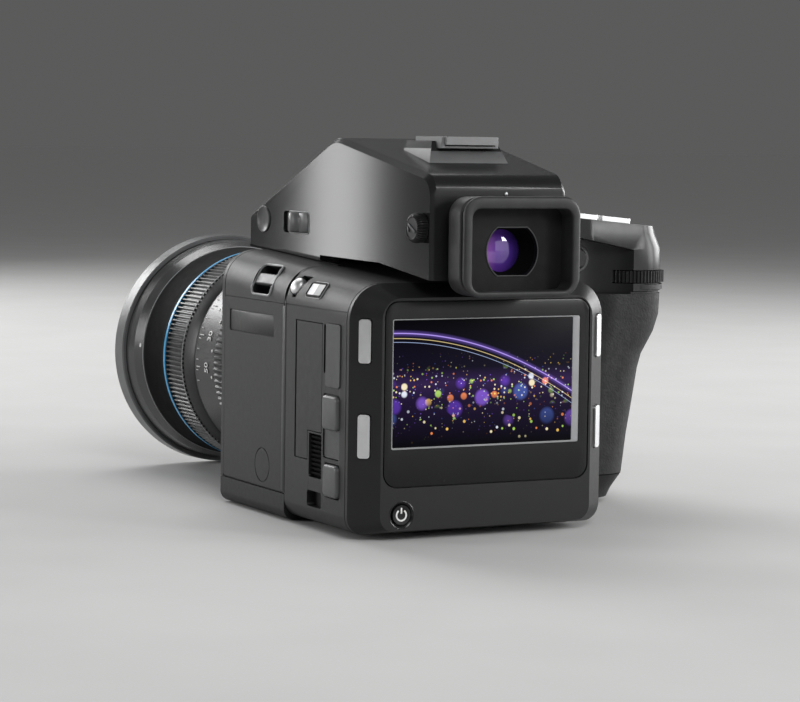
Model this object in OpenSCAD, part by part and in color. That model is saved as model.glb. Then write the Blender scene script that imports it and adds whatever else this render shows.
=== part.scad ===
// Medium format digital camera: reflex body with hand grip, digital back, prism finder and lens.
// +Y points along the lens, +X towards the hand grip, +Z up. The origin is the mouth of the tripod socket.

/* [Camera body] */
// Width of the body and of the digital back
body_w = 96; // [90:1:104]
// Distance from the tripod socket forward to the body's front face
body_front = 26; // [25:0.5:30]
// Distance from the tripod socket back to the joint with the digital back
body_rear = 27; // [26:0.5:30]
// Height of the sloping top above the tripod socket
top_h = 88.2; // [87:0.2:92]
// Angle at which the top falls towards the rear
top_slope = 3.8; // [3:0.1:4.4]
// Radius of the top shoulders
shoulder_r = 12; // [9:0.5:13]
// Height of the bottom cover
base_h = 9.4; // [8.4:0.2:11]
// Radius of the bottom cover's lower edges
base_r = 4; // [1:0.5:6]
// Height of the optical axis
axis_h = 45.6; // [45.5:0.1:47]

/* [Digital back] */
// Depth of the digital back
back_d = 55; // [52:0.5:60]
// Gap between the digital back's underside and the floor
back_lift = 1.5; // [0.5:0.1:2.5]
// Depth of the rear cover
cover_d = 9.3; // [8:0.1:11]
// Width of the slanted border beside the glass
bevel_w = 8.3; // [7:0.1:9]
// Flat edge left round the cover glass at its sides and top
glass_edge = 1.2; // [0.8:0.1:2]
// Height of the glass's lower edge
glass_z = 17.5; // [16.5:0.1:18]
// Thickness of the cover glass
glass_t = 1.2; // [0.8:0.1:1.6]
// Width of the picture area
screen_w = 69.7; // [60:0.1:71]
// Height of the picture area
screen_h = 41.8; // [36:0.1:44]
// Length of a soft key
key_l = 14.2; // [10:0.2:16]
// Width of a soft key
key_w = 4; // [3:0.1:5]
// Diameter of the power button
power_d = 6.4; // [5:0.1:7.4]

/* [Prism finder] */
// Half width of the finder at its rear
finder_rear_w = 25.4; // [24:0.2:27]
// Half width of the finder at its nose
finder_nose_w = 31; // [28:0.2:33]
// Distance from the tripod socket forward to the finder's nose
finder_nose = 40; // [38:0.5:44]
// Distance that the finder stands out behind the digital back
finder_overhang = 5.3; // [4:0.1:7]
// Height of the finder's ridge above the body's top, before it is rounded
finder_h = 42.8; // [41.8:0.1:44.8]
// Width of the bevel along the roof
roof_bevel = 1.7; // [1.2:0.1:2.6]
// Height of the eyepiece's centre above the body's top
eye_up = 6.2; // [5.8:0.1:6.8]
// Width of the eyecup
eyecup_w = 43.4; // [41:0.2:46]
// Height of the eyecup
eyecup_h = 32.6; // [31:0.2:33]
// Depth of the eyecup
eyecup_d = 12.2; // [10:0.2:14]
// Diameter of the diopter knob
diopter_d = 10; // [8:0.2:12]
// Height of the accessory shoe's floor above the body's top
shoe_up = 40; // [39.8:0.1:41.3]
// Clear width between the shoe's side walls
shoe_w = 18.7; // [18.6:0.05:18.9]

/* [Hand grip] */
// Width of the grip beside the body
grip_w = 57; // [54:0.5:62]
// Height of the joint between the grip and its top housing
grip_h = 75.6; // [74:0.2:77]
// Height of the battery's end cap
battery_cap_h = 10.4; // [8:0.2:13]
// Radius of the drum round the rear dial
drum_r = 12.5; // [11.5:0.1:13.5]
// Thickness of the rear dial
rear_dial_t = 4.2; // [3.8:0.1:4.8]
// Radius of the front dial
front_dial_r = 8; // [7:0.1:8.6]
// Diameter of the shutter button
shutter_d = 11; // [9:0.2:12]

/* [Lens] */
// Radius of the front rim
rim_r = 45.2; // [43.5:0.1:45.4]
// Radius of the filter thread
filter_r = 41; // [39.5:0.1:41.4]
// Length of the lens in front of its flange
lens_l = 107; // [104:0.5:114]
// Radius of the barrel next to the body
barrel_r = 36.5; // [35.5:0.1:37.5]
// Radius of the focus ring over its ribs
focus_r = 40.4; // [39.8:0.1:40.8]
// Length of the focus ring
focus_l = 16; // [14:0.2:17]
// Number of ribs on the focus ring
focus_ribs = 144; // [96:4:160]
// Radius of the lens mount's throat
throat_r = 29; // [28:0.1:30]

/* [Fits] */
// Gap round pieces that are fixed
seat = 0.15; // [0.1:0.05:0.25]
// Gap round pieces that move
play = 0.3; // [0.25:0.05:0.4]
// Radial gap of a pin in its bore
pin_gap = 0.05; // [0.03:0.01:0.08]

/* [Hidden] */
$fn = 64;
eps = 0.01;
far = 200;

half_w = body_w / 2;
back_front = -body_rear;
back_rear = back_front - back_d;
cover_front = back_rear + cover_d;
seam_h = top_h - 14.4;
seam = 0.35;
seam_in = 1;
panel_t = 1;
mount_t = 2.5;
flange_y = body_front + mount_t;
lens_front = flange_y + lens_l;
finder_rear = back_rear - finder_overhang;

// Height of the sloping top at a place along the camera
function top_at(y) = top_h + y * tan(top_slope);

// Points of a closed outline with every corner rounded by its own radius
function unit(v) = v / norm(v);
function corner(a, p, b, r, n) = r <= 0 ? [p] :
  let (u = unit(a - p), v = unit(b - p), half = acos(u * v) / 2)
  let (c = p + unit(u + v) * r / sin(half), s = p + u * r / tan(half) - c, e = p + v * r / tan(half) - c)
  let (sweep = acos(unit(s) * unit(e)))
  [for (i = [0:n]) c + (s * sin((1 - i / n) * sweep) + e * sin(i / n * sweep)) / sin(sweep)];
function rounded(pts, radii, n) = let (m = len(pts))
  [for (i = [0:m - 1]) each corner(pts[(i + m - 1) % m], pts[i], pts[(i + 1) % m], radii[i], n)];

// Triangles that join rings of equal length into a closed skin
function skin_faces(rings, n) = concat(
  [for (i = [1:n - 2]) [0, i, i + 1]],
  [for (k = [0:rings - 2], i = [0:n - 1]) let (a = k * n + i, b = k * n + (i + 1) % n)
    each [[a, a + n, b], [b, a + n, b + n]]],
  [for (i = [1:n - 2]) let (o = (rings - 1) * n) [o, o + i + 1, o + i]]);
module skin(rings) {
  polyhedron([for (r = rings) each r], skin_faces(len(rings), len(rings[0])), convexity = 6);
}

// Solid boxes between two corners, and outlines pushed along X or Y
module span(a, b) {
  translate(a) cube(b - a);
}
module along_y(y0, y1) {
  translate([0, y1, 0]) rotate([90, 0, 0]) linear_extrude(y1 - y0) children();
}
module along_x(x0, x1) {
  translate([x0, 0, 0]) rotate([90, 0, 90]) linear_extrude(x1 - x0) children();
}
module bore_y(x, z, y0, y1, r) {
  translate([x, y1, z]) rotate([90, 0, 0]) cylinder(r = r, h = y1 - y0);
}
module bore_x(y, z, x0, x1, r) {
  translate([x0, y, z]) rotate([0, 90, 0]) cylinder(r = r, h = x1 - x0);
}
module turned(outline) {
  translate([0, 0, axis_h]) rotate([-90, 0, 0]) rotate_extrude() polygon(outline);
}

// A rectangle with its upper and lower corners rounded apart, as true arcs
module round_rect(x0, x1, y0, y1, r_top, r_low) {
  translate([x0 + r_low, y0]) square([x1 - x0 - 2 * r_low, r_low]);
  translate([x0 + r_top, y1 - r_top]) square([x1 - x0 - 2 * r_top, r_top]);
  translate([x0, y0 + r_low]) square([x1 - x0, y1 - y0 - r_top - r_low]);
  for (x = [x0 + r_low, x1 - r_low]) translate([x, y0 + r_low]) circle(r_low);
  for (x = [x0 + r_top, x1 - r_top]) translate([x, y1 - r_top]) circle(r_top);
}

// The same about a centre, with one radius, and with a gap added all round
module pad(size, r, grow = 0) {
  round_rect(-size.x / 2 - grow, size.x / 2 + grow, -size.y / 2 - grow, size.y / 2 + grow, r, r);
}

// The block under the sloping top, with round shoulders, between two places along the camera
module sloped_block(y0, y1, z0, grow = 0) {
  intersection() {
    translate([0, 0, top_h + grow]) rotate([top_slope, 0, 0]) along_y(-far, far)
      round_rect(-half_w - grow, half_w + grow, -far, 0, shoulder_r + grow, 1);
    span([-half_w - grow, y0, z0], [half_w + grow, y1, far]);
  }
}

// Places children on the left shoulder, with their +Z pointing out of it
module on_shoulder(y, angle) {
  translate([-half_w + shoulder_r, y, top_at(y) - shoulder_r])
    rotate([0, angle - 90, 0]) translate([0, 0, shoulder_r]) children();
}

// A wheel with a toothed rim, standing on the XY plane
module toothed(r, tooth, n, h) {
  steps = [[0, r - tooth], [0.3, r], [0.5, r], [0.8, r - tooth]];
  linear_extrude(h)
    polygon([for (i = [0:n - 1], s = steps) let (a = (i + s[0]) * 360 / n) s[1] * [cos(a), sin(a)]]);
}

/* Camera body */

chamber_w = 31;
chamber_rear = back_front + 10;
chamber_low = axis_h - 25.6;
front_wall = 4;
screen_t = 1.6;
screen_low = top_h - 4.6;
screen_half = [26.4, 15.6];
screen_y = 4;
ledge = 1.6;
ledge_low = screen_low - ledge;
gate_w = 55;
gate_h = 41.5;
gate_low = axis_h - gate_h / 2;
gate_high = axis_h + gate_h / 2;
shutter_half_w = 36.5;
shutter_low = axis_h - 26.6;
shutter_roof = 2.4;
shutter_high = top_at(back_front) - shutter_roof;
shutter_front = back_front + 7;
mirror_hinge = [chamber_rear + 2.4, axis_h + 22.4];
mirror_t = 2.4;
mirror_half_w = 28;
mirror_tip_gap = 0.8;
mirror_l = body_front - front_wall - mirror_hinge.x - mirror_tip_gap;
mirror_cut = 6;
mirror_ear = 5;
mirror_pin_r = 1;
mirror_pin_l = chamber_w + 2.5;
lug_y = -6.5;
lug_angle = 29;
lug_pocket = [11, 15.4];
lug_depth = 5.6;
lug_bar = [4.2, 1.7];
lug_sunk = 2.1;
release_at = [9 - half_w, 26];
release_r = 4.4;
release_depth = 6;
release_l = 6.4;
release_proud = 3.4;
mount_r = 33;
bayonet_slot = 7;
panel_y = [back_front + 1.2, body_front - 2.4];
shoulder_groove = 0.4;

module screen_opening(grow, z0) {
  span([-screen_half.x - grow, screen_y - screen_half.y - grow, z0],
    [screen_half.x + grow, screen_y + screen_half.y + grow, far]);
}

// A fine line over the left shoulder, level with an edge of the side panel
module shoulder_line(y) difference() {
  sloped_block(y - shoulder_groove / 2, y + shoulder_groove / 2, seam_h, 1);
  sloped_block(-far, far, 0, -shoulder_groove);
  span([shoulder_r - half_w, -far, 0], [far, far, far]);
}

module body_shell() color("#2a2b2d") difference() {
  sloped_block(back_front, body_front, base_h);
  span([-chamber_w, chamber_rear, chamber_low], [chamber_w, body_front - front_wall, ledge_low]);
  bore_y(0, axis_h, body_front - front_wall - eps, body_front + eps, throat_r);
  span([-shutter_half_w - seat, back_front - eps, shutter_low - seat],
    [shutter_half_w + seat, shutter_front + seat, shutter_high + seat]);
  span([-gate_w / 2, shutter_front, gate_low], [gate_w / 2, chamber_rear + eps, gate_high]);
  screen_opening(-ledge, ledge_low - eps);
  screen_opening(seat, screen_low);
  bore_x(mirror_hinge.x, mirror_hinge.y, -mirror_pin_l - 1, mirror_pin_l + 1, mirror_pin_r + pin_gap);
  on_shoulder(lug_y, lug_angle) translate([0, 0, -lug_depth]) linear_extrude(far) pad(lug_pocket, 2);
  bore_y(release_at.x, release_at.y, body_front - release_depth, body_front + eps, release_r + play);
  span([-half_w - eps, panel_y[0] - seat, base_h - eps],
    [-half_w + panel_t, panel_y[1] + seat, seam_h + seat]);
  for (y = panel_y) shoulder_line(y);
}

bush_r = 7.5;
bush_t = base_h - 0.4;
socket_l = bush_t - 1;
large_bush_y = -17;
// Tripod sockets as [place along the camera, radius]
sockets = [[0, 3.175], [large_bush_y, 4.76]];

module base_cover() color("#1d1e1f") difference() {
  along_y(back_front, body_front) round_rect(-half_w, half_w, 0, 2 * base_h, 0.5, base_r);
  difference() {
    span([-far, -far, base_h - seam], [far, far, far]);
    span([-half_w + seam_in, back_front + seam_in, 0], [half_w, body_front - seam_in, base_h]);
  }
  for (s = sockets) translate([0, s[0], -eps]) cylinder(r = bush_r, h = bush_t + eps);
}

module tripod_bushes() color("#b4b6b8") for (s = sockets) translate([0, s[0], 0]) difference() {
  cylinder(r = bush_r, h = bush_t);
  translate([0, 0, -eps]) cylinder(r = s[1], h = socket_l + eps);
}

nameplate_y = [panel_y[0] + 8.3, panel_y[1] - 4.2];
nameplate_z = [seam_h - 12, seam_h - 4.4];
nameplate_depth = 0.45;
port_at = [panel_y[0] + 16.8, base_h + 7.6];
port_r = 6;
line_w = 0.35;

module left_side_panel() color("#2e2f31") difference() {
  along_x(-half_w, -half_w + panel_t) round_rect(panel_y[0], panel_y[1], base_h + seam, seam_h, 1, 1);
  along_x(-half_w - eps, -half_w + nameplate_depth)
    round_rect(nameplate_y[0], nameplate_y[1], nameplate_z[0], nameplate_z[1], 1, 1);
  along_x(-half_w - eps, -half_w + nameplate_depth) translate(port_at) difference() {
    circle(port_r);
    circle(port_r - line_w);
  }
}

module strap_lug() color("#8c8e90") on_shoulder(lug_y, lug_angle) translate([0, 0, -lug_sunk]) difference() {
  translate([-lug_bar.x / 2, -lug_pocket.y / 2, 0]) cube([lug_bar.x, lug_pocket.y, lug_bar.y]);
  for (x = [-lug_bar.x / 2, lug_bar.x / 2]) translate([x, 0, lug_bar.y])
    rotate([0, 45, 0]) cube([0.6, far, 0.6], center = true);
}

module lens_mount_ring() color("#b9bbbd") difference() {
  turned([[throat_r - 2, body_front], [mount_r, body_front], [mount_r, flange_y - 0.3],
    [mount_r - 0.3, flange_y], [throat_r - 2, flange_y]]);
  for (a = [30:120:270]) translate([0, 0, axis_h]) rotate([0, a, 0])
    span([0, body_front - eps, -bayonet_slot], [throat_r - 0.6, flange_y + eps, bayonet_slot]);
}

module lens_release_button() color("#202123") translate([0, body_front + release_proud, 0])
  bore_y(release_at.x, release_at.y, -release_l, 0, release_r);

module reflex_mirror() color("#c9d3dc") {
  translate([0, mirror_hinge.x, mirror_hinge.y]) rotate([-45, 0, 0]) {
    difference() {
      span([-mirror_half_w, 1.6, -mirror_t], [mirror_half_w, mirror_l, 0]);
      for (x = [-mirror_half_w, mirror_half_w]) translate([x, mirror_l, 0]) rotate([0, 0, 45])
        cube([mirror_cut, mirror_cut, 3 * mirror_t], center = true);
    }
    for (x = [-mirror_half_w, mirror_half_w - mirror_ear]) span([x, -0.4, -mirror_t], [x + mirror_ear, 2, 0]);
  }
  bore_x(mirror_hinge.x, mirror_hinge.y, -mirror_pin_l, mirror_pin_l, mirror_pin_r);
}

module focusing_screen() color("#dfe6ea")
  span([-screen_half.x, screen_y - screen_half.y, screen_low],
    [screen_half.x, screen_y + screen_half.y, screen_low + screen_t]);

blade_t = 0.4;
blade_pitch = 0.9;
blade_half_w = 30;
blade_h = 15;
blade_lap = 1.2;
blade_step = blade_h - blade_lap;
blade_over = 0.6;
blade_low = gate_low - blade_over;
blade_gap = 0.5;
slot_rear = 1.8;
slot_l = 3.4;
slot_roof = 1.2;
slot_y = [back_front + slot_rear, back_front + slot_rear + slot_l];

module shutter_frame() color("#1a1a1b") difference() {
  span([-shutter_half_w, back_front, shutter_low], [shutter_half_w, shutter_front, shutter_high]);
  span([-gate_w / 2, -far, gate_low], [gate_w / 2, far, gate_high]);
  span([-blade_half_w - 2 * play, slot_y[0], blade_low - slot_roof],
    [blade_half_w + 2 * play, slot_y[1], shutter_high - slot_roof]);
}

module shutter_blade(i) color("#3a3b3d") translate([-blade_half_w, slot_y[0] + blade_gap + i * blade_pitch,
  blade_low + i * blade_step]) cube([2 * blade_half_w, blade_t, blade_h]);

/* Hand grip */

grip_x = half_w + grip_w;
drum_at = [grip_x - drum_r, back_front + 6];
nose_at = [grip_x - 17, body_front + 1];
grip_rear = drum_at.y - drum_r;
// Inset of the grip's right edge and reach of its front edge, as [height, distance]
right_inset = [[2, 20], [10.4, 15.3], [25, 13.4], [33, 11.9], [42, 10.3], [48.4, 9.2], [53.6, 7.6],
  [57.3, 5.3], [61.7, 2.6], [67.9, 0.4], [75.6, 0]];
front_reach = [[2, 7], [20, 13], [45, 15], [62, 14], [75.6, 14]];
scoop_at = [half_w + 20, back_front - 24];
scoop_r = 26;
// Depth of the thumb's hollow in the grip, as [height, depth], and its edges as shares of the grip's width
thumb_dish = [[2, 1.5], [10.4, 3], [30, 5], [60, 6.5], [75.6, 6.5]];
dish_edges = [0.3, 0.54];
finger_at = [half_w + 4.5, body_front + 13];
finger_r = 14.5;
battery_x = [half_w + 10, grip_x - 21];
battery_y = [back_front + 9, body_front - 7];
battery_low = 2;
battery_top = 66;

// Outline of the grip at a height, from a corner that sees all of it, as skin's end faces need
function grip_ring(z) =
  let (x = grip_x - lookup(z, right_inset), f = body_front + lookup(z, front_reach))
  let (r = grip_rear + (z < 6 ? 2 : 0), s = r + lookup(z, thumb_dish), w = x - half_w)
  let (dish = [half_w + dish_edges[0] * w, half_w + dish_edges[1] * w])
  [for (p = rounded([[half_w, f], [half_w, s], [dish[0], s], [dish[1], r], [x, r], [x - 4, f]],
    [8, 0, 10, 10, drum_r, 13], 8)) [p.x, p.y, z]];
module grip_body(levels, inner) {
  difference() {
    skin([for (z = levels) grip_ring(z)]);
    translate([finger_at.x, finger_at.y, -eps]) cylinder(r = finger_r, h = far);
    span([0, -far, -eps], [inner, far, far]);
  }
}

module grip_shell() color("#232425") difference() {
  grip_body([battery_cap_h + play, 18, 25, 33, 42, 48.4, 53.6, 57.3, 61.7, 64.8, 67.9, grip_h], half_w);
  span([battery_x[0] - play, battery_y[0] - play, 0],
    [battery_x[1] + play, battery_y[1] + play, battery_top + play]);
}

module battery_pack() color("#1f2021") {
  grip_body([battery_low, 5, battery_cap_h], half_w + play);
  span([battery_x[0], battery_y[0], battery_cap_h - 1], [battery_x[1], battery_y[1], battery_top]);
}

dial_low = grip_h + 4;
dial_r = drum_r + 0.8;
axle_r = 1.5;
axle_l = 2.6;
axle_hole = 3;
housing_h = 29;
housing_fall = 5.4;
housing_top_in = grip_h + housing_h;
housing_slope = atan(housing_fall / grip_w);
housing_waist = grip_h + 16.2;
housing_brow = grip_h + 21.4;
housing_lap = 11;
joint_gap = 0.7;
thumb_at = [scoop_at.x, grip_h + 12.6];
thumb_r = 3.2;
thumb_l = 6.4;
thumb_proud = 2;
thumb_y = scoop_at.y + scoop_r;
scoop_top = grip_h + 19.9;
brow_angle = 11.7;
finger_top = grip_h + 12.4;
shutter_at = [grip_x - 19, nose_at.y - 5.5];
shutter_depth = 4.6;
shutter_proud = 2.2;
shutter_travel = 1.2;
shutter_dome = 26;
front_dial_at = [grip_x - 20.5, nose_at.y + 6.6, grip_h + 12];
front_dial_w = 7;
display_size = [22, 27];
display_at = [half_w + 28.5, nose_at.y - 35];
display_t = 1.6;
display_proud = 0.8;
key_size = [13, 4.4];
top_key_at = [key_size.x / 2 + 0.5, -display_size.y / 2 - key_size.y / 2 - 0.9];
top_key_depth = 2.4;
top_key_proud = 1.8;
top_key_travel = 0.6;

// Height of the sloping top of the grip's housing
function housing_top(x) = housing_top_in - (x - half_w) * tan(housing_slope);
function housing_outline(s) = let (front = nose_at.y + 13 - s, inner = half_w - housing_lap)
  rounded([[inner, grip_rear + s + 6], [drum_at.x - 22, grip_rear + s], [grip_x - s, grip_rear + s],
    [grip_x - s - 3, front], [nose_at.x - 24, front], [inner, nose_at.y - 19]],
    [1, 8, drum_r - s, 13 - s, 8, 1], 6);

// Places children on the housing's sloping top, with +Z square to it
module on_housing_top(x, y) {
  translate([x, y, housing_top(x)]) rotate([0, housing_slope, 0]) children();
}

module front_dial_bore(w, r) {
  bore_x(front_dial_at.y, front_dial_at.z, front_dial_at.x - w / 2, front_dial_at.x + w / 2, r);
}

// Recess for the thumb under a slanting brow
module thumb_recess() intersection() {
  union() {
    translate([scoop_at.x, scoop_at.y, 0]) cylinder(r = scoop_r, h = far);
    span([half_w - housing_lap - 1, -far, 0], [scoop_at.x, thumb_y, far]);
  }
  translate([scoop_at.x, 0, scoop_top]) rotate([0, brow_angle, 0]) span([-far, -far, -far], [far, far, 0]);
}

module grip_top_housing() color("#262729") difference() {
  skin(concat(
    [for (l = [[grip_h, joint_gap], [grip_h + joint_gap, joint_gap], [grip_h + 1.4 * joint_gap, 0],
      [housing_waist, 0], [housing_brow, 2.2]])
      [for (p = housing_outline(l[1])) [p.x, p.y, l[0]]]],
    [[for (p = housing_outline(2.8)) [p.x, p.y, housing_top(p.x)]]]));
  sloped_block(-far, far, 0, seat);
  thumb_recess();
  translate([finger_at.x, finger_at.y, 0]) cylinder(r = finger_r, h = finger_top);
  translate([drum_at.x, drum_at.y, dial_low - play]) cylinder(r = dial_r + play, h = rear_dial_t + 2 * play);
  translate([drum_at.x, drum_at.y, dial_low - axle_hole])
    cylinder(r = axle_r + pin_gap, h = rear_dial_t + 2 * axle_hole);
  bore_y(thumb_at.x, thumb_at.y, thumb_y - 6, thumb_y + 6, thumb_r + play);
  on_housing_top(shutter_at.x, shutter_at.y) translate([0, 0, -shutter_depth])
    cylinder(r = shutter_d / 2 + play, h = 12);
  front_dial_bore(front_dial_w + 2 * play, front_dial_r + play);
  front_dial_bore(front_dial_w + 2 * axle_hole, axle_r + pin_gap);
  on_housing_top(display_at.x, display_at.y) {
    translate([0, 0, display_proud - display_t]) linear_extrude(9) pad(display_size, 1.5, seat);
    for (side = [-1, 1]) translate([side * top_key_at.x, top_key_at.y, -top_key_depth]) linear_extrude(9)
      pad(key_size, 1.2, play);
  }
}

module top_display() color("#101215") on_housing_top(display_at.x, display_at.y)
  translate([0, 0, display_proud - display_t]) linear_extrude(display_t) pad(display_size, 1.4);

module top_key(side) color("#3c3d40") on_housing_top(display_at.x, display_at.y)
  translate([side * top_key_at.x, top_key_at.y, top_key_travel + play - top_key_depth])
    linear_extrude(top_key_depth + top_key_proud - top_key_travel - play) pad(key_size, 1);

module shutter_button() color("#a9abad") on_housing_top(shutter_at.x, shutter_at.y) intersection() {
  translate([0, 0, shutter_travel + play - shutter_depth]) cylinder(r = shutter_d / 2, h = shutter_depth + 2);
  translate([0, 0, shutter_proud - shutter_dome]) sphere(r = shutter_dome, $fn = 96);
}

module front_dial() color("#1b1c1d") {
  translate(front_dial_at) rotate([0, 90, 0]) translate([0, 0, -front_dial_w / 2])
    toothed(front_dial_r, 0.6, 30, front_dial_w);
  front_dial_bore(front_dial_w + 2 * axle_l, axle_r);
}

module rear_dial() color("#1b1c1d") translate([drum_at.x, drum_at.y, dial_low]) {
  toothed(dial_r, 0.5, 60, rear_dial_t);
  translate([0, 0, -axle_l]) cylinder(r = axle_r, h = rear_dial_t + 2 * axle_l);
}

module thumb_button() color("#1d1e20")
  bore_y(thumb_at.x, thumb_at.y, thumb_y - thumb_proud, thumb_y - thumb_proud + thumb_l, thumb_r);

/* Digital back */

cover_slab = 2;
cover_top = top_at(cover_front);
cover_low_r = 6;
face_slab = 0.6;
face_low = 1.6;
face_top = 4.4;
bevel_angle = atan((cover_d - cover_slab - face_slab) / bevel_w);
glass_w = body_w - 2 * (bevel_w + glass_edge);
glass_top = cover_top - face_top - glass_edge;
glass_gap = 0.35;
glass_r = 4.7;
screen_at = [-0.65, (glass_z + glass_top) / 2 + 3.4];
panel_depth = 3;
key_inset = [16.6, 12.8];
key_z = [glass_z + key_inset[0], glass_top - key_inset[1]];
key_depth = 2.4;
key_proud = 1;
key_travel = 0.7;
power_at = [6.7 - glass_w / 2, glass_z - 9.2];
power_depth = 2.6;
power_proud = 0.2;
power_travel = 0.8;
power_dish = 16;
power_hollow = 0.5;
sensor_half = [32, 26];
sensor_depth = 10;
sensor_area = [53.4, 40];
bay_x = half_w - 10;
bay_z = [back_lift + 12.5, cover_top - 12.4];
bay_front = cover_front + 16.7;

// Side details of the digital back as [rear, front] along the camera and [low, high]
door_y = [cover_front + 17.7, back_front - 8];
door_z = [23.2, seam_h - 4.8];
door_step = [door_y[0] + 10.5, 33];
door_t = 2;
hinge_pin_r = 0.5;
hinge_pin_l = 1.6;
hinge_at = [-half_w + door_t / 2, door_y[1] - door_t / 2];
card_bay_y = [door_y[0] + 2, door_y[1] - 3];
card_bay_z = [door_step.y + 3, door_z[1] - 2];
card_bay_depth = 11;
// Card slots as [rear, front, margin in height, depth]
card_slots = [[door_y[0] + 3.5, door_y[0] + 7.5, 0.5, 36], [door_y[1] - 9, door_y[1] - 6.6, 3, 32]];
plate_y = [cover_front + 4, cover_front + 14.3];
plate_z = [48.8, seam_h - 4.2];
plate_t = 1.3;
plate_proud = 0.4;
groove_y = [cover_front + 15.1, cover_front + 16.4];
groove_z = [53, seam_h - 4.8];
track_y = [cover_front + 4.3, cover_front + 16.3];
track_z = [25, 46.4];
track_depth = 1.8;
slider_z = [35.4, 45.8];
slider_proud = 2.4;
slider_travel = 8.5;
tongue_y = cover_front + 10.2;
tongue = [3, 6.5];
tongue_depth = 3;
tongue_top = slider_z[1] - 1.6;
push_y = [cover_front + 4.1, cover_front + 14.7];
push_z = [12.4, 23.4];
push_depth = 3.4;
push_travel = 1.5;
plug_y = [door_y[0] - 0.2, door_y[0] + 9];
plug_z = [17.6, 32];
plug_depth = 3;
plug_base = 1.2;
lower_recess_y = [door_y[0] - 0.5, door_y[0] + 10.2];
lower_recess_z = [7.6, 13];
pin_y = back_front - 3.9;
pin_angle = 32;
pin_r = 3.1;
pin_depth = 3;
window_y = back_front - 19;
window_angle = 34;
window_size = [4.2, 10];
window_t = 1;

// Outline of the digital back seen from behind
module back_outline(inset) {
  round_rect(-half_w + inset, half_w - inset, back_lift + inset, cover_top - inset, shoulder_r - inset,
    cover_low_r - inset);
}

// Places children on the slanted border, with +Z pointing out of it
module on_bevel(side, z) {
  translate([side * (half_w - bevel_w / 2), (cover_front - cover_slab + back_rear + face_slab) / 2, z])
    rotate([0, 0, side * bevel_angle]) rotate([90, 0, 0]) children();
}

module side_outline(y, z, r, grow = 0) {
  round_rect(y[0] - grow, y[1] + grow, z[0] - grow, z[1] + grow, r, r);
}
module side_recess(depth, y, z, r, grow = 0) {
  along_x(-half_w - eps, -half_w + depth) side_outline(y, z, r, grow);
}
module door_outline(grow = 0) difference() {
  translate([door_y[0] - grow, door_z[0] - grow])
    square([door_y[1] - door_y[0] + 2 * grow, door_z[1] - door_z[0] + 2 * grow]);
  translate([door_step.x - grow - far, door_step.y - grow - far]) square(far);
}

module back_block() intersection() {
  union() {
    sloped_block(cover_front, back_front - seam, 0);
    sloped_block(back_front - 1, back_front, 0, -seam_in);
  }
  along_y(-far, far) round_rect(-half_w, half_w, back_lift, far, 1, cover_low_r);
}

module back_housing() color("#28292b") difference() {
  back_block();
  span([-sensor_half.x - seat, back_front - sensor_depth, axis_h - sensor_half.y - seat],
    [sensor_half.x + seat, far, axis_h + sensor_half.y + seat]);
  span([-bay_x, cover_front - eps, bay_z[0]], [bay_x, bay_front, bay_z[1]]);
  span([-half_w - eps, cover_front - eps, seam_h], [-half_w + 0.4, back_front + eps, seam_h + seam]);
  along_x(-half_w - eps, -half_w + door_t + play) door_outline(play);
  span([-half_w, card_bay_y[0], card_bay_z[0]], [-half_w + card_bay_depth, card_bay_y[1], card_bay_z[1]]);
  for (s = card_slots)
    span([-half_w, s[0], card_bay_z[0] + s[2]], [-half_w + s[3], s[1], card_bay_z[1] - s[2]]);
  translate([hinge_at.x, hinge_at.y, door_z[0] - hinge_pin_l - 0.4])
    cylinder(r = hinge_pin_r + pin_gap, h = door_z[1] - door_z[0] + 2 * hinge_pin_l + 0.8);
  side_recess(plate_t - plate_proud, plate_y, plate_z, 1.4, seat);
  side_recess(3, groove_y, groove_z, 0.5);
  side_recess(track_depth, track_y, track_z, 1);
  span([-half_w, tongue_y - tongue[0] / 2 - play, tongue_top - tongue[1] - slider_travel - play],
    [-half_w + track_depth + tongue_depth + 2 * play, tongue_y + tongue[0] / 2 + play, tongue_top + play]);
  side_recess(push_depth, push_y, push_z, 1.2, play);
  side_recess(plug_depth, plug_y, plug_z, 0.8, seat);
  side_recess(plug_depth, lower_recess_y, lower_recess_z, 1);
  on_shoulder(pin_y, pin_angle) translate([0, 0, -2.6]) linear_extrude(9)
    polygon([[4.2, 0], [-4.2, 0], [-4.2, -2.8], [4.2, -6.8]]);
  on_shoulder(pin_y, pin_angle) translate([0, 0, -pin_depth]) cylinder(r = pin_r + seat, h = 9);
  on_shoulder(window_y, window_angle) translate([0, 0, -window_t]) linear_extrude(9)
    pad(window_size, 0.6, seat);
}

module back_rear_cover() color("#242527") difference() {
  union() {
    hull() {
      along_y(cover_front - cover_slab, cover_front - seam) back_outline(0, $fn = 32);
      along_y(back_rear, back_rear + face_slab) round_rect(-half_w + bevel_w, half_w - bevel_w,
        back_lift + face_low, cover_top - face_top, 7, 5, $fn = 32);
    }
    along_y(cover_front - cover_slab, cover_front) back_outline(seam_in);
  }
  along_y(back_rear - 1, back_rear + glass_t) round_rect(-glass_w / 2 - glass_gap, glass_w / 2 + glass_gap,
    glass_z - glass_gap, glass_top + glass_gap, glass_r + glass_gap, glass_r + glass_gap);
  along_y(back_rear, back_rear + glass_t + panel_depth) translate(screen_at)
    square([screen_w + 2 * seat, screen_h + 2 * seat], center = true);
  for (side = [-1, 1], z = key_z) on_bevel(side, z) translate([0, 0, -key_depth]) linear_extrude(9)
    pad([key_w, key_l], 1.2, play);
  bore_y(power_at.x, power_at.y, back_rear - 1, back_rear + power_depth, power_d / 2 + play);
  translate([power_at.x, back_rear - eps, power_at.y]) rotate([-90, 0, 0])
    cylinder(r1 = power_d / 2 + 1.1, r2 = power_d / 2 + play, h = 0.8);
}

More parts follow.
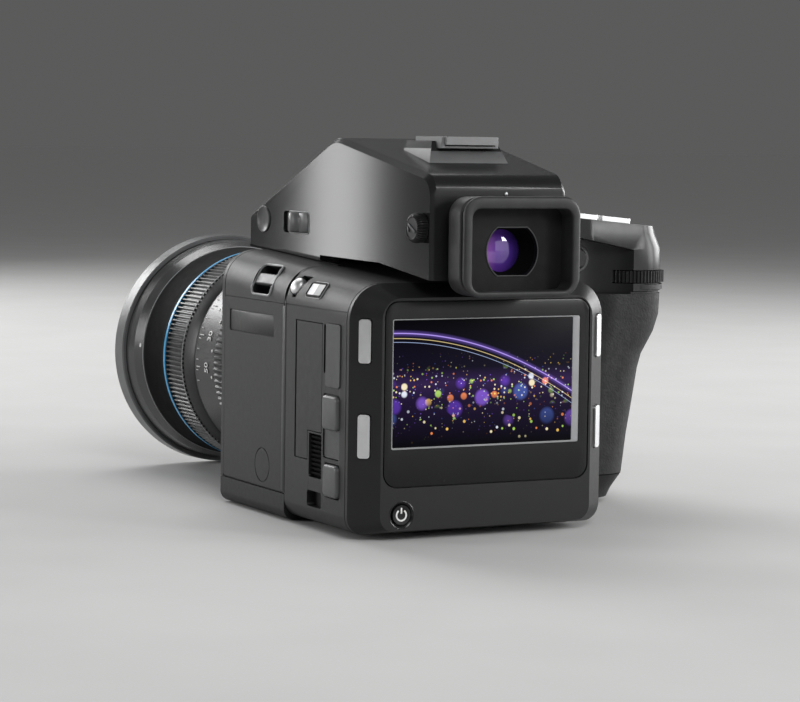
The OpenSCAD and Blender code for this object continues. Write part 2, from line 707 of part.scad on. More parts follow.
module display_glass() color("#30353a") along_y(back_rear, back_rear + glass_t)
  round_rect(-glass_w / 2, glass_w / 2, glass_z, glass_top, glass_r, glass_r);

module display_panel() color("#27344a") along_y(back_rear + glass_t, back_rear + glass_t + panel_depth - seat)
  translate(screen_at) square([screen_w, screen_h], center = true);

module soft_key(side, z) color("#c4c6c8") on_bevel(side, z) translate([0, 0, key_travel + play - key_depth])
  linear_extrude(key_depth + key_proud - key_travel - play) pad([key_w, key_l], 1);

module power_button() color("#3a3b3e") difference() {
  bore_y(power_at.x, power_at.y, back_rear - power_proud, back_rear + power_depth - power_travel - play,
    power_d / 2);
  translate([power_at.x, back_rear - power_proud + power_hollow - power_dish, power_at.y])
    sphere(r = power_dish, $fn = 96);
}

module sensor_plate(half, y0, y1) {
  span([-half.x, back_front + y0, axis_h - half.y], [half.x, back_front + y1, axis_h + half.y]);
}
module image_sensor() color("#3b5a46") {
  sensor_plate(sensor_half, -sensor_depth, 2 - sensor_depth);
  sensor_plate(sensor_area / 2, 1 - sensor_depth, 3.6 - sensor_depth);
}

module card_door() color("#1e1f21") {
  difference() {
    along_x(-half_w, -half_w + door_t) door_outline();
    span([-far, hinge_at.y, 0], [far, far, far]);
  }
  translate([hinge_at.x, hinge_at.y, door_z[0]]) cylinder(r = door_t / 2, h = door_z[1] - door_z[0]);
  translate([hinge_at.x, hinge_at.y, door_z[0] - hinge_pin_l])
    cylinder(r = hinge_pin_r, h = door_z[1] - door_z[0] + 2 * hinge_pin_l);
}

module lock_plate() color("#4a4c4f") along_x(-half_w - plate_proud, -half_w + plate_t - plate_proud)
  side_outline(plate_y, plate_z, 1.2);

module lock_slider() color("#6a6c6f") {
  along_x(-half_w - slider_proud, -half_w + track_depth - play) side_outline(track_y, slider_z, 1, -play);
  span([-half_w, tongue_y - tongue[0] / 2, tongue_top - tongue[1]],
    [-half_w + track_depth + tongue_depth, tongue_y + tongue[0] / 2, tongue_top]);
}

module lock_button() color("#6a6c6f")
  along_x(-half_w - slider_proud, -half_w + push_depth - push_travel - play) side_outline(push_y, push_z, 1.2);

module connector_block() color("#0f1011") {
  along_x(-half_w + plug_depth - plug_base, -half_w + plug_depth) side_outline(plug_y, plug_z, 0.6);
  for (z = [plug_z[0] + 1 : 1.5 : plug_z[1] - 1])
    span([-half_w + 0.5, plug_y[0] + 0.8, z], [-half_w + plug_depth - 1, plug_y[1] - 0.8, z + 0.7]);
}

module release_pin() color("#d5d7d9") on_shoulder(pin_y, pin_angle) translate([0, 0, -pin_depth])
  intersection() {
    cylinder(r = pin_r, h = pin_depth + 1.2);
    sphere(r = pin_depth + 1.3, $fn = 96);
  }

module status_window() color("#e8ebee") on_shoulder(window_y, window_angle) translate([0, 0, -window_t])
  linear_extrude(window_t) pad(window_size, 0.5);

/* Prism finder */

nose_top = top_h + 14.8;
nose_low = top_h - 2.2;
ridge_y = back_front + 4.25;
ridge_h = top_h + finder_h;
roof_rear = top_h + 30.3;
rear_low = top_h - 6;
finder_taper = atan((finder_nose_w - finder_rear_w) / (finder_nose - finder_rear));
// Underside of the finder behind its seat, as places along the camera and heights above the sloping top
seat_rear = back_front + 14;
under_rise = [[finder_rear - 0.7, 2.25], [back_front - 27, 4.4], [seat_rear, 2.35]];
cavity_w = 21.5;
cavity_front = finder_nose - 16;
cavity_rear = finder_rear + 5.3;
cavity_roof = [ridge_y + 2.75, ridge_h - 8];
prism_gap = 3.4;
prism_rear = ridge_y - 17.25;
diopter_at = [finder_rear + 5.7, top_h + 13.4];
diopter_l = 4.4;
diopter_shaft_r = 2;
latch_at = [finder_nose - 37.4, top_h + 12.2];
latch_size = [7, 14.4];
latch_t = 2.6;
latch_seat = 1.2;
latch_travel = 4;
latch_tail = [2.6, 4.2];
cap_at = [finder_nose - 10.7, top_h + 12.5];
cap_r = 4.85;
cap_t = 1.2;
cap_stem_r = 2;
eye_h = top_h + eye_up;
eye_r = 9.6;
eye_flat = 7.85;
eye_lens_r = 11;
eye_lens_y = [2.2, 7];
eye_lens_bend = 40;
plate_half = [18.6, 13.2];
plate_rise = 0.8;
plate_d = 8.5;
plate_rear = finder_rear - plate_d;
eyecup_gap = 3.5;
eyecup_rise = 1.8;
eyecup_r = 6.5;
shoe_h = top_h + shoe_up;
shoe_set = 20.3;
shoe_l = 18.3;
pedestal_l = 23;
pedestal_y = [finder_rear + shoe_set, finder_rear + shoe_set + pedestal_l];
pedestal_draft = [4, 2];
pedestal_top_y = [pedestal_y[0] + pedestal_draft[0], pedestal_y[1] - pedestal_draft[1]];
pedestal_w = [15.5, 12.3];
pedestal_low = top_h + 30.8;
pedestal_top = shoe_h + 1.6;
rail_y = [pedestal_y[0], pedestal_y[0] + shoe_l];
rail_wall = 1.55;
rail_floor = 0.8;
rail_gap = 2.1;
rail_lip = 1;
rail_open = 6.35;
rail_half = shoe_w / 2 + rail_wall;
cover_tail = 1.6;

function under_at(y) = top_at(y) + lookup(y, under_rise);
under = concat([[finder_rear - 40, rear_low - 4]], [for (p = under_rise) [p[0], top_at(p[0]) + p[1]]],
  [[seat_rear, rear_low - 4]]);
cavity = [[cavity_front, rear_low], [cavity_front, nose_top - 3], cavity_roof, [cavity_rear, roof_rear - 7.5],
  [cavity_rear, under_at(cavity_rear) + 3.2], [back_front - 27, under_at(back_front - 27) + 2.4],
  [seat_rear, under_at(seat_rear) + 1.7], [seat_rear, rear_low]];
prism_low = under_at(seat_rear) + 2.9;
prism = [[cavity_front - 4, prism_low], [cavity_front - 4, nose_top - 3.5],
  [cavity_roof.x + 2, cavity_roof.y - prism_gap], [prism_rear, cavity_roof.y - 8], [prism_rear, prism_low]];

function finder_w(y) = finder_rear_w + (y - finder_rear) * tan(finder_taper);
function finder_outline(b) = let (nose = finder_nose - b / 4, rear = finder_rear + 0.6 * b)
  rounded([[nose, nose_low], [nose, nose_top - b], [ridge_y, ridge_h - 1.05 * b], [rear, roof_rear - b],
    [rear, rear_low]], [0, 2, 16, 6, 0], 7);
function finder_ring(side, b, inset) =
  [for (p = finder_outline(b)) [side * (finder_w(p.x) - inset), p.x, p.y]];

// Places children on the finder's left side, with +Z pointing out of it and +Y forward
module on_finder_side(at) {
  translate([-finder_w(at.x), at.x, at.y]) rotate([0, 0, finder_taper]) rotate([0, -90, 0]) children();
}

// The eyepiece's opening, a circle with its top and bottom cut flat
module eye_opening(y0, y1) intersection() {
  bore_y(0, eye_h, y0, y1, eye_r);
  span([-far, -far, eye_h - eye_flat], [far, far, eye_h + eye_flat]);
}

module shoe_pedestal() hull() {
  span([-pedestal_w[0], pedestal_y[0], pedestal_low], [pedestal_w[0], pedestal_y[1], pedestal_low + 2]);
  span([-pedestal_w[1], pedestal_top_y[0], pedestal_top - 0.5],
    [pedestal_w[1], pedestal_top_y[1], pedestal_top]);
}

module prism_housing() color("#2c2d2f") difference() {
  union() {
    skin([finder_ring(-1, roof_bevel, 0), finder_ring(-1, 0, roof_bevel), finder_ring(1, 0, roof_bevel),
      finder_ring(1, roof_bevel, 0)]);
    shoe_pedestal();
  }
  translate([0, 0, top_h]) rotate([top_slope, 0, 0]) span([-far, -far, -far], [far, far, 0]);
  along_x(-far, far) polygon(under);
  along_x(-cavity_w, cavity_w) polygon(cavity);
  eye_opening(finder_rear - 1, cavity_rear + 1);
  on_finder_side(diopter_at) translate([0, 0, -8]) cylinder(r = diopter_shaft_r + pin_gap, h = 9);
  on_finder_side(latch_at) translate([0, latch_travel / 2, -latch_seat]) linear_extrude(9)
    pad([latch_size.x, latch_size.y + latch_travel], 1.4, play);
  on_finder_side(latch_at) translate([0, latch_travel / 2, -latch_seat - 2.6]) linear_extrude(9)
    square([latch_tail.x + 2 * play, latch_tail.y + latch_travel + 2 * play], center = true);
  on_finder_side(cap_at) translate([0, 0, -2]) cylinder(r = cap_stem_r, h = 9);
  span([-rail_half - seat, -far, shoe_h - rail_floor], [rail_half + seat, rail_y[1] + seat, far]);
}

module pentaprism() color("#cfe0ea") along_x(-cavity_w, cavity_w) polygon(prism);

module plate_outline() {
  translate([0, eye_h + plate_rise]) pad(2 * plate_half, 3);
}
module eyepiece_plate() color("#1c1d1e") difference() {
  along_y(plate_rear, finder_rear) plate_outline();
  bore_y(0, eye_h, plate_rear + eye_lens_y[0], finder_rear + 1, eye_lens_r);
  eye_opening(plate_rear - 1, finder_rear);
}

module eyepiece_lens() color("#9c8fc0") intersection() {
  bore_y(0, eye_h, plate_rear + eye_lens_y[0], plate_rear + eye_lens_y[1], eye_lens_r);
  translate([0, plate_rear + eye_lens_y[0] + 0.6 + eye_lens_bend, eye_h]) sphere(r = eye_lens_bend, $fn = 128);
}

module eyecup() color("#151516") difference() {
  along_y(finder_rear - eyecup_gap - eyecup_d, finder_rear - eyecup_gap) translate([0, eye_h + eyecup_rise])
    pad([eyecup_w, eyecup_h], eyecup_r);
  along_y(finder_rear - far, finder_rear + 1) plate_outline();
}

module diopter_knob() color("#1a1b1c") on_finder_side(diopter_at) {
  translate([0, 0, play]) toothed(diopter_d / 2, 0.35, 40, diopter_l);
  translate([0, 0, -5]) cylinder(r = diopter_shaft_r, h = 6);
}

module prism_latch() color("#1d1e20") on_finder_side(latch_at) {
  translate([0, 0, play - latch_seat]) linear_extrude(latch_t) pad(latch_size, 1.2);
  translate([0, 0, -latch_seat - 2.2]) linear_extrude(3) square(latch_tail, center = true);
}

module prism_cap() color("#333436") on_finder_side(cap_at) {
  cylinder(r1 = cap_r, r2 = cap_r - 0.3, h = cap_t);
  translate([0, 0, -1.8]) cylinder(r = cap_stem_r - seat, h = 2);
}

module shoe_rails() color("#7c7e81") along_y(rail_y[0], rail_y[1]) difference() {
  translate([-rail_half, shoe_h - rail_floor]) square([2 * rail_half, rail_floor + rail_gap + rail_lip]);
  translate([-shoe_w / 2, shoe_h]) square([shoe_w, rail_gap]);
  translate([-rail_open, shoe_h]) square([2 * rail_open, far]);
}

module shoe_cover() color("#5a5c5f") {
  span([-shoe_w / 2 + play, rail_y[0] - 1, shoe_h + play],
    [shoe_w / 2 - play, rail_y[1] - play, shoe_h + rail_gap - play]);
  span([-rail_open + play, rail_y[0] - 1, shoe_h + play],
    [rail_open - play, rail_y[1] - play, shoe_h + rail_gap + rail_lip]);
  span([-shoe_w / 2 - 0.4, rail_y[0] - cover_tail, shoe_h + 0.4],
    [shoe_w / 2 + 0.4, rail_y[0] - play, shoe_h + rail_gap + rail_lip]);
}

/* Lens */

bayonet_r = throat_r - 2.3;
bayonet_l = 6;
lug_half = 6;
rear_bore = 24;
rear_bore_l = 30;
iris_bore = barrel_r - 4.3;
sleeve_r = barrel_r - 1.1;
focus_rib = 0.8;
rib_start = flange_y + 5;
rib_end = flange_y + 18.5;
rib_depth = 0.6;
rib_wall = 1.6;
scale_l = 51;
scale_end = flange_y + scale_l;
ring_seat = scale_end + focus_l + 2 * play;
blue_w = 1.4;
front_y = ring_seat + blue_w;
band_rear = 18.5;
band_front = 6.5;
band_y = [lens_front - band_rear, lens_front - band_front];
lap = 3;
filter_l = 5;
hood_bore = 33.2;
front_seat = 35.2;
front_element_set = [21, 8];
front_element_y = [lens_front - front_element_set[0], lens_front - front_element_set[1]];
front_bend = 90;
iris_set = 2;
iris_y = scale_end + iris_set;
iris_plate = 1.6;
iris_gap = 0.8;
iris_t = 0.4;
iris_open = iris_bore - 9.7;
iris_out = iris_bore - 4.2;
iris_pivot_r = iris_bore - 2.9;
iris_pin_r = 0.8;
iris_pin_l = 4;
iris_ear_r = 2.2;

module ribbed_band() translate([0, rib_start, axis_h]) rotate([-90, 0, 0]) difference() {
  toothed(barrel_r + rib_depth / 2, rib_depth, 120, rib_end - rib_start - 1);
  translate([0, 0, -1]) cylinder(r = barrel_r - rib_wall, h = far);
}

module bayonet_lugs() intersection() {
  turned([[bayonet_r - 1, flange_y - 5.8], [throat_r - 0.5, flange_y - 5.8],
    [throat_r - 0.5, body_front - 0.3], [bayonet_r - 1, body_front - 0.3]]);
  for (a = [90:120:330]) translate([0, 0, axis_h]) rotate([0, a, 0])
    span([0, -far, -lug_half], [far, far, lug_half]);
}

module lens_barrel() color("#1f2022") difference() {
  union() {
    turned([[rear_bore, flange_y - bayonet_l], [bayonet_r, flange_y - bayonet_l], [bayonet_r, flange_y],
      [mount_r, flange_y], [mount_r, flange_y + 1.6], [barrel_r - 0.6, flange_y + 2.4],
      [barrel_r - 0.6, rib_end], [barrel_r + 0.4, rib_end + 0.6], [barrel_r + 1.9, scale_end - 0.6],
      [barrel_r + 1.6, scale_end],
      [sleeve_r, scale_end], [sleeve_r, front_y + lap], [iris_bore, front_y + lap], [iris_bore, iris_y],
      [iris_open, iris_y], [iris_open, iris_y - iris_plate], [iris_bore, iris_y - iris_plate],
      [iris_bore, flange_y + rear_bore_l], [rear_bore, flange_y + rear_bore_l]]);
    ribbed_band();
    bayonet_lugs();
  }
  for (i = [0:4]) translate([0, 0, axis_h]) rotate([0, -72 * i, 0])
    bore_y(iris_pivot_r, 0, iris_y - iris_pin_l - 1, iris_y + 1, iris_pin_r + pin_gap);
}

module focus_ring() color("#19191a") translate([0, scale_end + play, axis_h]) rotate([-90, 0, 0])
  difference() {
    toothed(focus_r, focus_rib, focus_ribs, focus_l);
    translate([0, 0, -1]) cylinder(r = sleeve_r + pin_gap, h = far, $fn = 128);
  }

module front_barrel() color("#232426") turned([[sleeve_r, ring_seat], [focus_r + 0.2, ring_seat],
  [focus_r + 0.2, front_y], [focus_r - 0.2, front_y + 0.2], [focus_r - 0.6, front_y + 4],
  [focus_r + 0.3, band_y[0] - 0.6], [focus_r + 0.6, band_y[0]], [rim_r - 2.6, band_y[0] + 5],
  [rim_r - 1.2, band_y[1]], [rim_r - 2, band_y[1] + 0.3], [rim_r - 2, band_y[1] + 1.2],
  [rim_r, band_y[1] + 1.8], [rim_r, lens_front - 0.5], [rim_r - 0.5, lens_front], [filter_r, lens_front],
  [filter_r, lens_front - filter_l], [filter_r - 2, lens_front - filter_l - 0.4],
  [front_seat, lens_front - 11],
  [front_seat, front_element_y[0]], [hood_bore, front_element_y[0]],
  [hood_bore, front_y + lap], [sleeve_r, front_y + lap]]);

module front_element() color("#bcd2e2") intersection() {
  bore_y(0, axis_h, front_element_y[0], front_element_y[1] + 3, front_seat - 0.2);
  translate([0, front_element_y[1] - front_bend, axis_h]) sphere(r = front_bend, $fn = 128);
}

// Inner lens groups as [rear, front, radius]
rear_group = [-4, 6];
middle_group = [-16, -8];
front_group = [-4, 2];
groups = [[flange_y + rear_group[0], flange_y + rear_group[1], rear_bore],
  [scale_end + middle_group[0], scale_end + middle_group[1], iris_bore],
  [front_y + front_group[0], front_y + front_group[1], iris_bore]];
group_bend = 110;
module inner_elements() color("#b7cad8") for (g = groups) intersection() {
  bore_y(0, axis_h, g[0], g[1] + 1, g[2]);
  translate([0, g[1] - group_bend, axis_h]) sphere(r = group_bend, $fn = 360);
}

module blade_outline() {
  difference() {
    circle(iris_out);
    circle(iris_open + 0.4);
    translate([-far, -far]) square([2 * far, far]);
    rotate(105) square(far);
    rotate(150) square(far);
  }
  translate([iris_pivot_r, 0]) circle(iris_ear_r);
}

function blade_y(i) = iris_y + 0.5 + i * iris_gap;
module iris_blade(i) color("#2a2a2c") translate([0, 0, axis_h]) rotate([0, -72 * i, 0]) {
  along_y(blade_y(i), blade_y(i) + iris_t) blade_outline();
  bore_y(iris_pivot_r, 0, iris_y - iris_pin_l, blade_y(i) + iris_t / 2, iris_pin_r);
}

body_shell();
base_cover();
tripod_bushes();
left_side_panel();
strap_lug();
lens_mount_ring();
lens_release_button();
reflex_mirror();
focusing_screen();
shutter_frame();
shutter_blade(0);  // shutter_blade_lower
shutter_blade(1);  // shutter_blade_middle
shutter_blade(2);  // shutter_blade_upper
grip_shell();
grip_top_housing();
top_display();
top_key(-1);  // top_key_left
top_key(1);  // top_key_right
shutter_button();
front_dial();
rear_dial();
thumb_button();
battery_pack();
back_housing();
back_rear_cover();
display_glass();
display_panel();
soft_key(-1, key_z[1]);  // soft_key_upper_left
soft_key(-1, key_z[0]);  // soft_key_lower_left
soft_key(1, key_z[1]);  // soft_key_upper_right
soft_key(1, key_z[0]);  // soft_key_lower_right
power_button();
image_sensor();
card_door();
lock_plate();
lock_slider();
lock_button();
connector_block();
release_pin();
status_window();
prism_housing();
pentaprism();
eyepiece_plate();
eyepiece_lens();
eyecup();
diopter_knob();
prism_latch();
prism_cap();
shoe_rails();
shoe_cover();
lens_barrel();
focus_ring();
front_barrel();
front_element();
inner_elements();
iris_blade(0);  // iris_blade_1
iris_blade(1);  // iris_blade_2
iris_blade(2);  // iris_blade_3
iris_blade(3);  // iris_blade_4
iris_blade(4);  // iris_blade_5
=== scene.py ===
"""Looks of a medium format digital camera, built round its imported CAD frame.

Lengths are millimetres in the part's frame. Those of the floor, the lamps and the camera's clipping are metres.
"""
import math

import bmesh
import bpy
from mathutils import Matrix, Vector


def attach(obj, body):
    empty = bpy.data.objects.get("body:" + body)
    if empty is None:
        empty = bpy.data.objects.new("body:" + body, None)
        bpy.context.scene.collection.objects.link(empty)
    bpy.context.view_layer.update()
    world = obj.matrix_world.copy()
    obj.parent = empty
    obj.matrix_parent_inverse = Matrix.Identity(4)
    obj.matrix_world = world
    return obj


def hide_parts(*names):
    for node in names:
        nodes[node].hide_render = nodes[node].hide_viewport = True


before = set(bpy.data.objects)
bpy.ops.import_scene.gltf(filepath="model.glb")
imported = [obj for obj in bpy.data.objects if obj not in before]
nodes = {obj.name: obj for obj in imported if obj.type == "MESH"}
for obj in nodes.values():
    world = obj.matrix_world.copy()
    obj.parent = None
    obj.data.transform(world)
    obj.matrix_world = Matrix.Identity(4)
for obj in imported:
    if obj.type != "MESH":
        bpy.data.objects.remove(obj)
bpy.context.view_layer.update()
scene = bpy.context.scene
MM = 0.001
CREASE = 34  # degrees between two faces, above which their edge stays sharp
LINE_SIDES = 10  # of the section of thin round lines

# Places and sizes that the CAD model gives
HALF_W = 48.0
TOP_Z, TOP_SLOPE, SHOULDER_R = 88.2, math.radians(3.8), 12.0
BACK_Y = -82.0
AXIS_Z = 45.6
EYE_Z = 94.4
GLASS_HALF_W, GLASS_LOW, GLASS_HIGH, GLASS_R = 38.5, 17.5, 77.77, 4.7
POWER_X, POWER_Z = -31.8, 8.3
FINDER_REAR, FINDER_HALF_W, FINDER_TAPER = -87.3, 25.4, math.atan(5.6 / 127.3)
HOUSING_Z, HOUSING_SLOPE = 104.6, math.atan(5.4 / 57.0)
DRUM_X, DRUM_Y = 92.5, -21.0
# On the left shoulder, as place along the camera and angle
LUG_AT, PIN_AT, WINDOW_AT = (-6.5, 29), (-30.9, 32), (-46.0, 34)
# On the finder's left side, as place along the camera and height
LATCH_AT, DIOPTER_AT, CAP_AT = (2.6, 100.4), (-81.6, 101.6), (29.3, 100.7)
# On the grip's housing, seen from above
SHUTTER_AT, DISPLAY_AT = (86.0, 21.5), (76.5, -8.0)
# On rear faces, as place to the side, height and place along the camera
THUMB_AT, LAMP_AT = (68.0, 88.2, -25.0), (2.3, 112.8, FINDER_REAR)


# Materials

class Shader:
    """A principled material whose detail comes from noise in the part's own frame."""

    def __init__(self, name, colour, rough, metal=0.0, **sockets):
        self.material = bpy.data.materials.new(name)
        self.material.use_nodes = True
        self.tree = self.material.node_tree
        self.bsdf = self.tree.nodes["Principled BSDF"]
        self.coords = self.add("ShaderNodeTexCoord").outputs["Object"]
        self.set("Base Color", colour)
        self.set("Roughness", rough)
        self.set("Metallic", metal)
        for key, value in sockets.items():
            self.set(key.replace("_", " "), value)

    def add(self, kind, **settings):
        node = self.tree.nodes.new(kind)
        for key, value in settings.items():
            setattr(node, key, value)
        return node

    def join(self, a, b):
        self.tree.links.new(a, b)

    def set(self, socket, value):
        if isinstance(value, (tuple, list)) and len(value) == 3:
            value = (*value, 1.0)
        self.bsdf.inputs[socket].default_value = value

    def noise(self, size, detail=3.0, stretch=None):
        """Noise whose features are about size millimetres across, or stretched along the axes."""
        node = self.add("ShaderNodeTexNoise")
        node.inputs["Detail"].default_value = detail
        node.inputs["Roughness"].default_value = 0.5
        node.inputs["Scale"].default_value = 1.0 / (size * MM)
        source = self.coords
        if stretch:
            mapping = self.add("ShaderNodeMapping")
            mapping.inputs["Scale"].default_value = stretch
            self.join(source, mapping.inputs["Vector"])
            source = mapping.outputs["Vector"]
        self.join(source, node.inputs["Vector"])
        return node.outputs["Fac"]

    def cells(self, size, feature="F1"):
        node = self.add("ShaderNodeTexVoronoi", feature=feature)
        node.inputs["Scale"].default_value = 1.0 / (size * MM)
        self.join(self.coords, node.inputs["Vector"])
        return node.outputs["Distance"]

    def spread(self, value, low, high, start=0.3, end=0.7):
        """Maps a value from start and end to low and high."""
        node = self.add("ShaderNodeMapRange")
        for key, number in (("From Min", start), ("From Max", end), ("To Min", low), ("To Max", high)):
            node.inputs[key].default_value = number
        self.join(value, node.inputs["Value"])
        return node.outputs["Result"]

    def ramp(self, value, stops, steps=False):
        node = self.add("ShaderNodeValToRGB")
        node.color_ramp.interpolation = "CONSTANT" if steps else "LINEAR"
        points = node.color_ramp.elements
        while len(points) < len(stops):
            points.new(0.5)
        for point, (place, colour) in zip(points, stops):
            point.position = place
            point.color = (*colour, 1.0)
        self.join(value, node.inputs["Fac"])
        return node.outputs["Color"]

    def axis(self, name, low, high):
        """The place along an axis of the part's frame, 0 at low and 1 at high."""
        split = self.add("ShaderNodeSeparateXYZ")
        self.join(self.coords, split.inputs["Vector"])
        return self.spread(split.outputs[name], 0.0, 1.0, low * MM, high * MM)

    def colour(self, source):
        self.join(source, self.bsdf.inputs["Base Color"])

    def rough(self, source):
        self.join(source, self.bsdf.inputs["Roughness"])

    def mottle(self, colour, size, amount):
        """Slight changes of the colour over the surface."""
        low = tuple(c * (1 - amount) for c in colour)
        high = tuple(min(1.0, c * (1 + amount)) for c in colour)
        self.colour(self.ramp(self.noise(size, 4.0), [(0.32, low), (0.68, high)]))

    def roughen(self, low, high, size, stretch=None):
        self.rough(self.spread(self.noise(size, 4.0, stretch), low, high))

    def bump(self, source, height, strength=1.0):
        """A bump on top of those that are there already."""
        node = self.add("ShaderNodeBump")
        node.inputs["Strength"].default_value = strength
        node.inputs["Distance"].default_value = height * MM
        self.join(source, node.inputs["Height"])
        before = self.bsdf.inputs["Normal"]
        if before.is_linked:
            self.join(before.links[0].from_socket, node.inputs["Normal"])
        self.join(node.outputs["Normal"], before)


def painted(name, colour, rough=(0.41, 0.46), grain=0.35, height=0.02):
    """Fine textured paint on metal."""
    s = Shader(name, colour, 0.42, Specular_IOR_Level=0.4)
    s.mottle(colour, 9.0, 0.08)
    if rough:
        s.roughen(*rough, 2.0)
    s.bump(s.noise(grain, 2.0), height)
    return s


def moulded(name, colour, rough, grain=0.25, height=0.015, gloss=0.4):
    """Moulded plastic with an eroded finish."""
    s = Shader(name, colour, 0.5, Specular_IOR_Level=gloss)
    s.mottle(colour, 6.0, 0.1)
    s.roughen(*rough, 3.0)
    s.bump(s.cells(grain), height, 0.6)
    return s


def metal(name, colour, rough, stretch=None, height=0.004):
    """Turned or brushed metal."""
    s = Shader(name, colour, 0.25, 1.0)
    s.mottle(colour, 7.0, 0.06)
    s.roughen(*rough, 1.2, stretch)
    s.bump(s.noise(0.5, 3.0, stretch), height)
    return s


def rubbery(name, colour, cell, height, rough=(0.55, 0.72)):
    """Rubber with a leather-like grain."""
    s = Shader(name, colour, 0.62, Specular_IOR_Level=0.4)
    s.mottle(colour, 5.0, 0.18)
    s.roughen(*rough, 2.0)
    s.bump(s.cells(cell, "SMOOTH_F1"), height, 0.7)
    s.bump(s.noise(0.3, 2.0), height * 0.3, 0.6)
    return s


def glassy(name, colour, rough, size, **sockets):
    """Clear or ground glass."""
    s = Shader(name, colour, 0.02, 0.0, IOR=1.6, **sockets)
    s.roughen(*rough, size)
    return s


def smooth_sides(s, top, side):
    """Lets the roughness fall from top to side where a surface faces left or right."""
    split = s.add("ShaderNodeSeparateXYZ")
    size = s.add("ShaderNodeMath", operation="ABSOLUTE")
    s.join(s.add("ShaderNodeTexCoord").outputs["Normal"], split.inputs["Vector"])
    s.join(split.outputs["X"], size.inputs[0])
    s.rough(s.spread(size.outputs["Value"], top, side, 0.8, 0.96))


# Paint
shell = painted("shell_paint", (0.014, 0.0143, 0.0149))
panel_paint = painted("panel_paint", (0.0118, 0.0121, 0.0126), (0.43, 0.48), 0.4)
cover_paint = painted("cover_paint", (0.0105, 0.0107, 0.0112), (0.38, 0.43))
finder_paint = painted("finder_paint", (0.0125, 0.0128, 0.0133), None, 0.35, 0.0015)
smooth_sides(finder_paint, 0.26, 0.085)
housing_paint = painted("housing_paint", (0.0115, 0.0118, 0.0123), (0.28, 0.32), 0.35, 0.004)
gloss_black = painted("gloss_black", (0.012, 0.0122, 0.0126), (0.2, 0.25), 0.3, 0.002)
base_paint = painted("base_paint", (0.0095, 0.0097, 0.0102), (0.5, 0.6), 0.6, 0.03)
# A lighter grey: on the seam strip a painted highlight, and on the latch's bed painted light
strip_grey = painted("strip_grey", (0.03, 0.0306, 0.0315), (0.34, 0.42))
plate_grey = painted("plate_grey", (0.058, 0.059, 0.0605), (0.34, 0.44))
slider_grey = painted("slider_grey", (0.08, 0.0815, 0.0835), (0.34, 0.44))
rim_grain = painted("rim_grain", (0.1, 0.1015, 0.104), (0.28, 0.36), 0.55, 0.04)
shoe_grey = painted("shoe_grey", (0.23, 0.232, 0.236), (0.42, 0.52), 0.3, 0.015)
# Light grey for thin lines along edges: a painted highlight where the edges catch the light
edge_highlight_grey = painted("edge_highlight_grey", (0.24, 0.243, 0.248), (0.3, 0.4), 0.3, 0.006)
frame_grey = painted("screen_frame_grey", (0.3, 0.303, 0.31), (0.2, 0.28), 0.5, 0.004)

# Plastic, ink and rubber
matt_black = moulded("matt_black", (0.005, 0.005, 0.0052), (0.6, 0.72), 0.25, 0.015, 0.25)
deep_black = moulded("deep_black", (0.0022, 0.0022, 0.0023), (0.75, 0.85), 0.2, 0.01, 0.08)
control = moulded("control_plastic", (0.0075, 0.0077, 0.0081), (0.34, 0.46))
door_plastic = moulded("door_plastic", (0.0125, 0.0128, 0.0133), (0.4, 0.5), 0.3)
knurl = moulded("knurled_black", (0.009, 0.0092, 0.0096), (0.32, 0.46), 0.2)
white_ink = moulded("white_ink", (0.78, 0.78, 0.77), (0.45, 0.55), 0.2, 0.003)
lcd_ink = moulded("display_ink", (0.34, 0.38, 0.37), (0.3, 0.4), 0.2, 0.002)
rubber = rubbery("grip_rubber", (0.0125, 0.0127, 0.0132), 0.7, 0.13)
soft_rubber = rubbery("eyecup_rubber", (0.024, 0.0243, 0.025), 0.5, 0.02, (0.42, 0.54))

# Metal and glass
steel = metal("steel", (0.55, 0.555, 0.56), (0.22, 0.36))
polished = metal("polished_steel", (0.66, 0.665, 0.67), (0.44, 0.5), None, 0.0)
silver = metal("silver_keys", (0.84, 0.845, 0.85), (0.3, 0.4), (1, 1, 0.15))
mirror_coat = metal("mirror_silver", (0.86, 0.88, 0.9), (0.02, 0.05), None, 0.0)
blade = metal("shutter_blade", (0.06, 0.061, 0.063), (0.42, 0.55), (1, 1, 0.1))
iris_black = metal("iris_black", (0.04, 0.04, 0.042), (0.4, 0.52))
glass = glassy("lens_glass", (0.93, 0.97, 0.96), (0.01, 0.05), 12.0, Transmission_Weight=1.0)
screen_glass = glassy("ground_glass", (0.9, 0.93, 0.93), (0.3, 0.45), 1.0, Transmission_Weight=0.6)

# Cover glass round the display: smooth, with a slight change of gloss
bezel_glass = Shader("bezel_glass", (0.0095, 0.0097, 0.0102), 0.24, Specular_IOR_Level=0.3)
bezel_glass.mottle((0.0095, 0.0097, 0.0102), 30.0, 0.08)
bezel_glass.roughen(0.2, 0.28, 16.0)

# Front element: coated glass over a dark barrel, tinted by its depth
coated = Shader("coated_element", (0.004, 0.005, 0.008), 0.03, Coat_Weight=0.2, Coat_Roughness=0.02,
                Specular_IOR_Level=0.2, Coat_Tint=(0.6, 0.9, 0.8))
coated.colour(coated.ramp(coated.axis("Y", 118.0, 127.5), [
    (0.0, (0.03, 0.008, 0.04)), (0.5, (0.006, 0.012, 0.03)), (0.85, (0.002, 0.004, 0.008)),
    (1.0, (0.004, 0.008, 0.008))]))
coated.roughen(0.015, 0.04, 20.0)
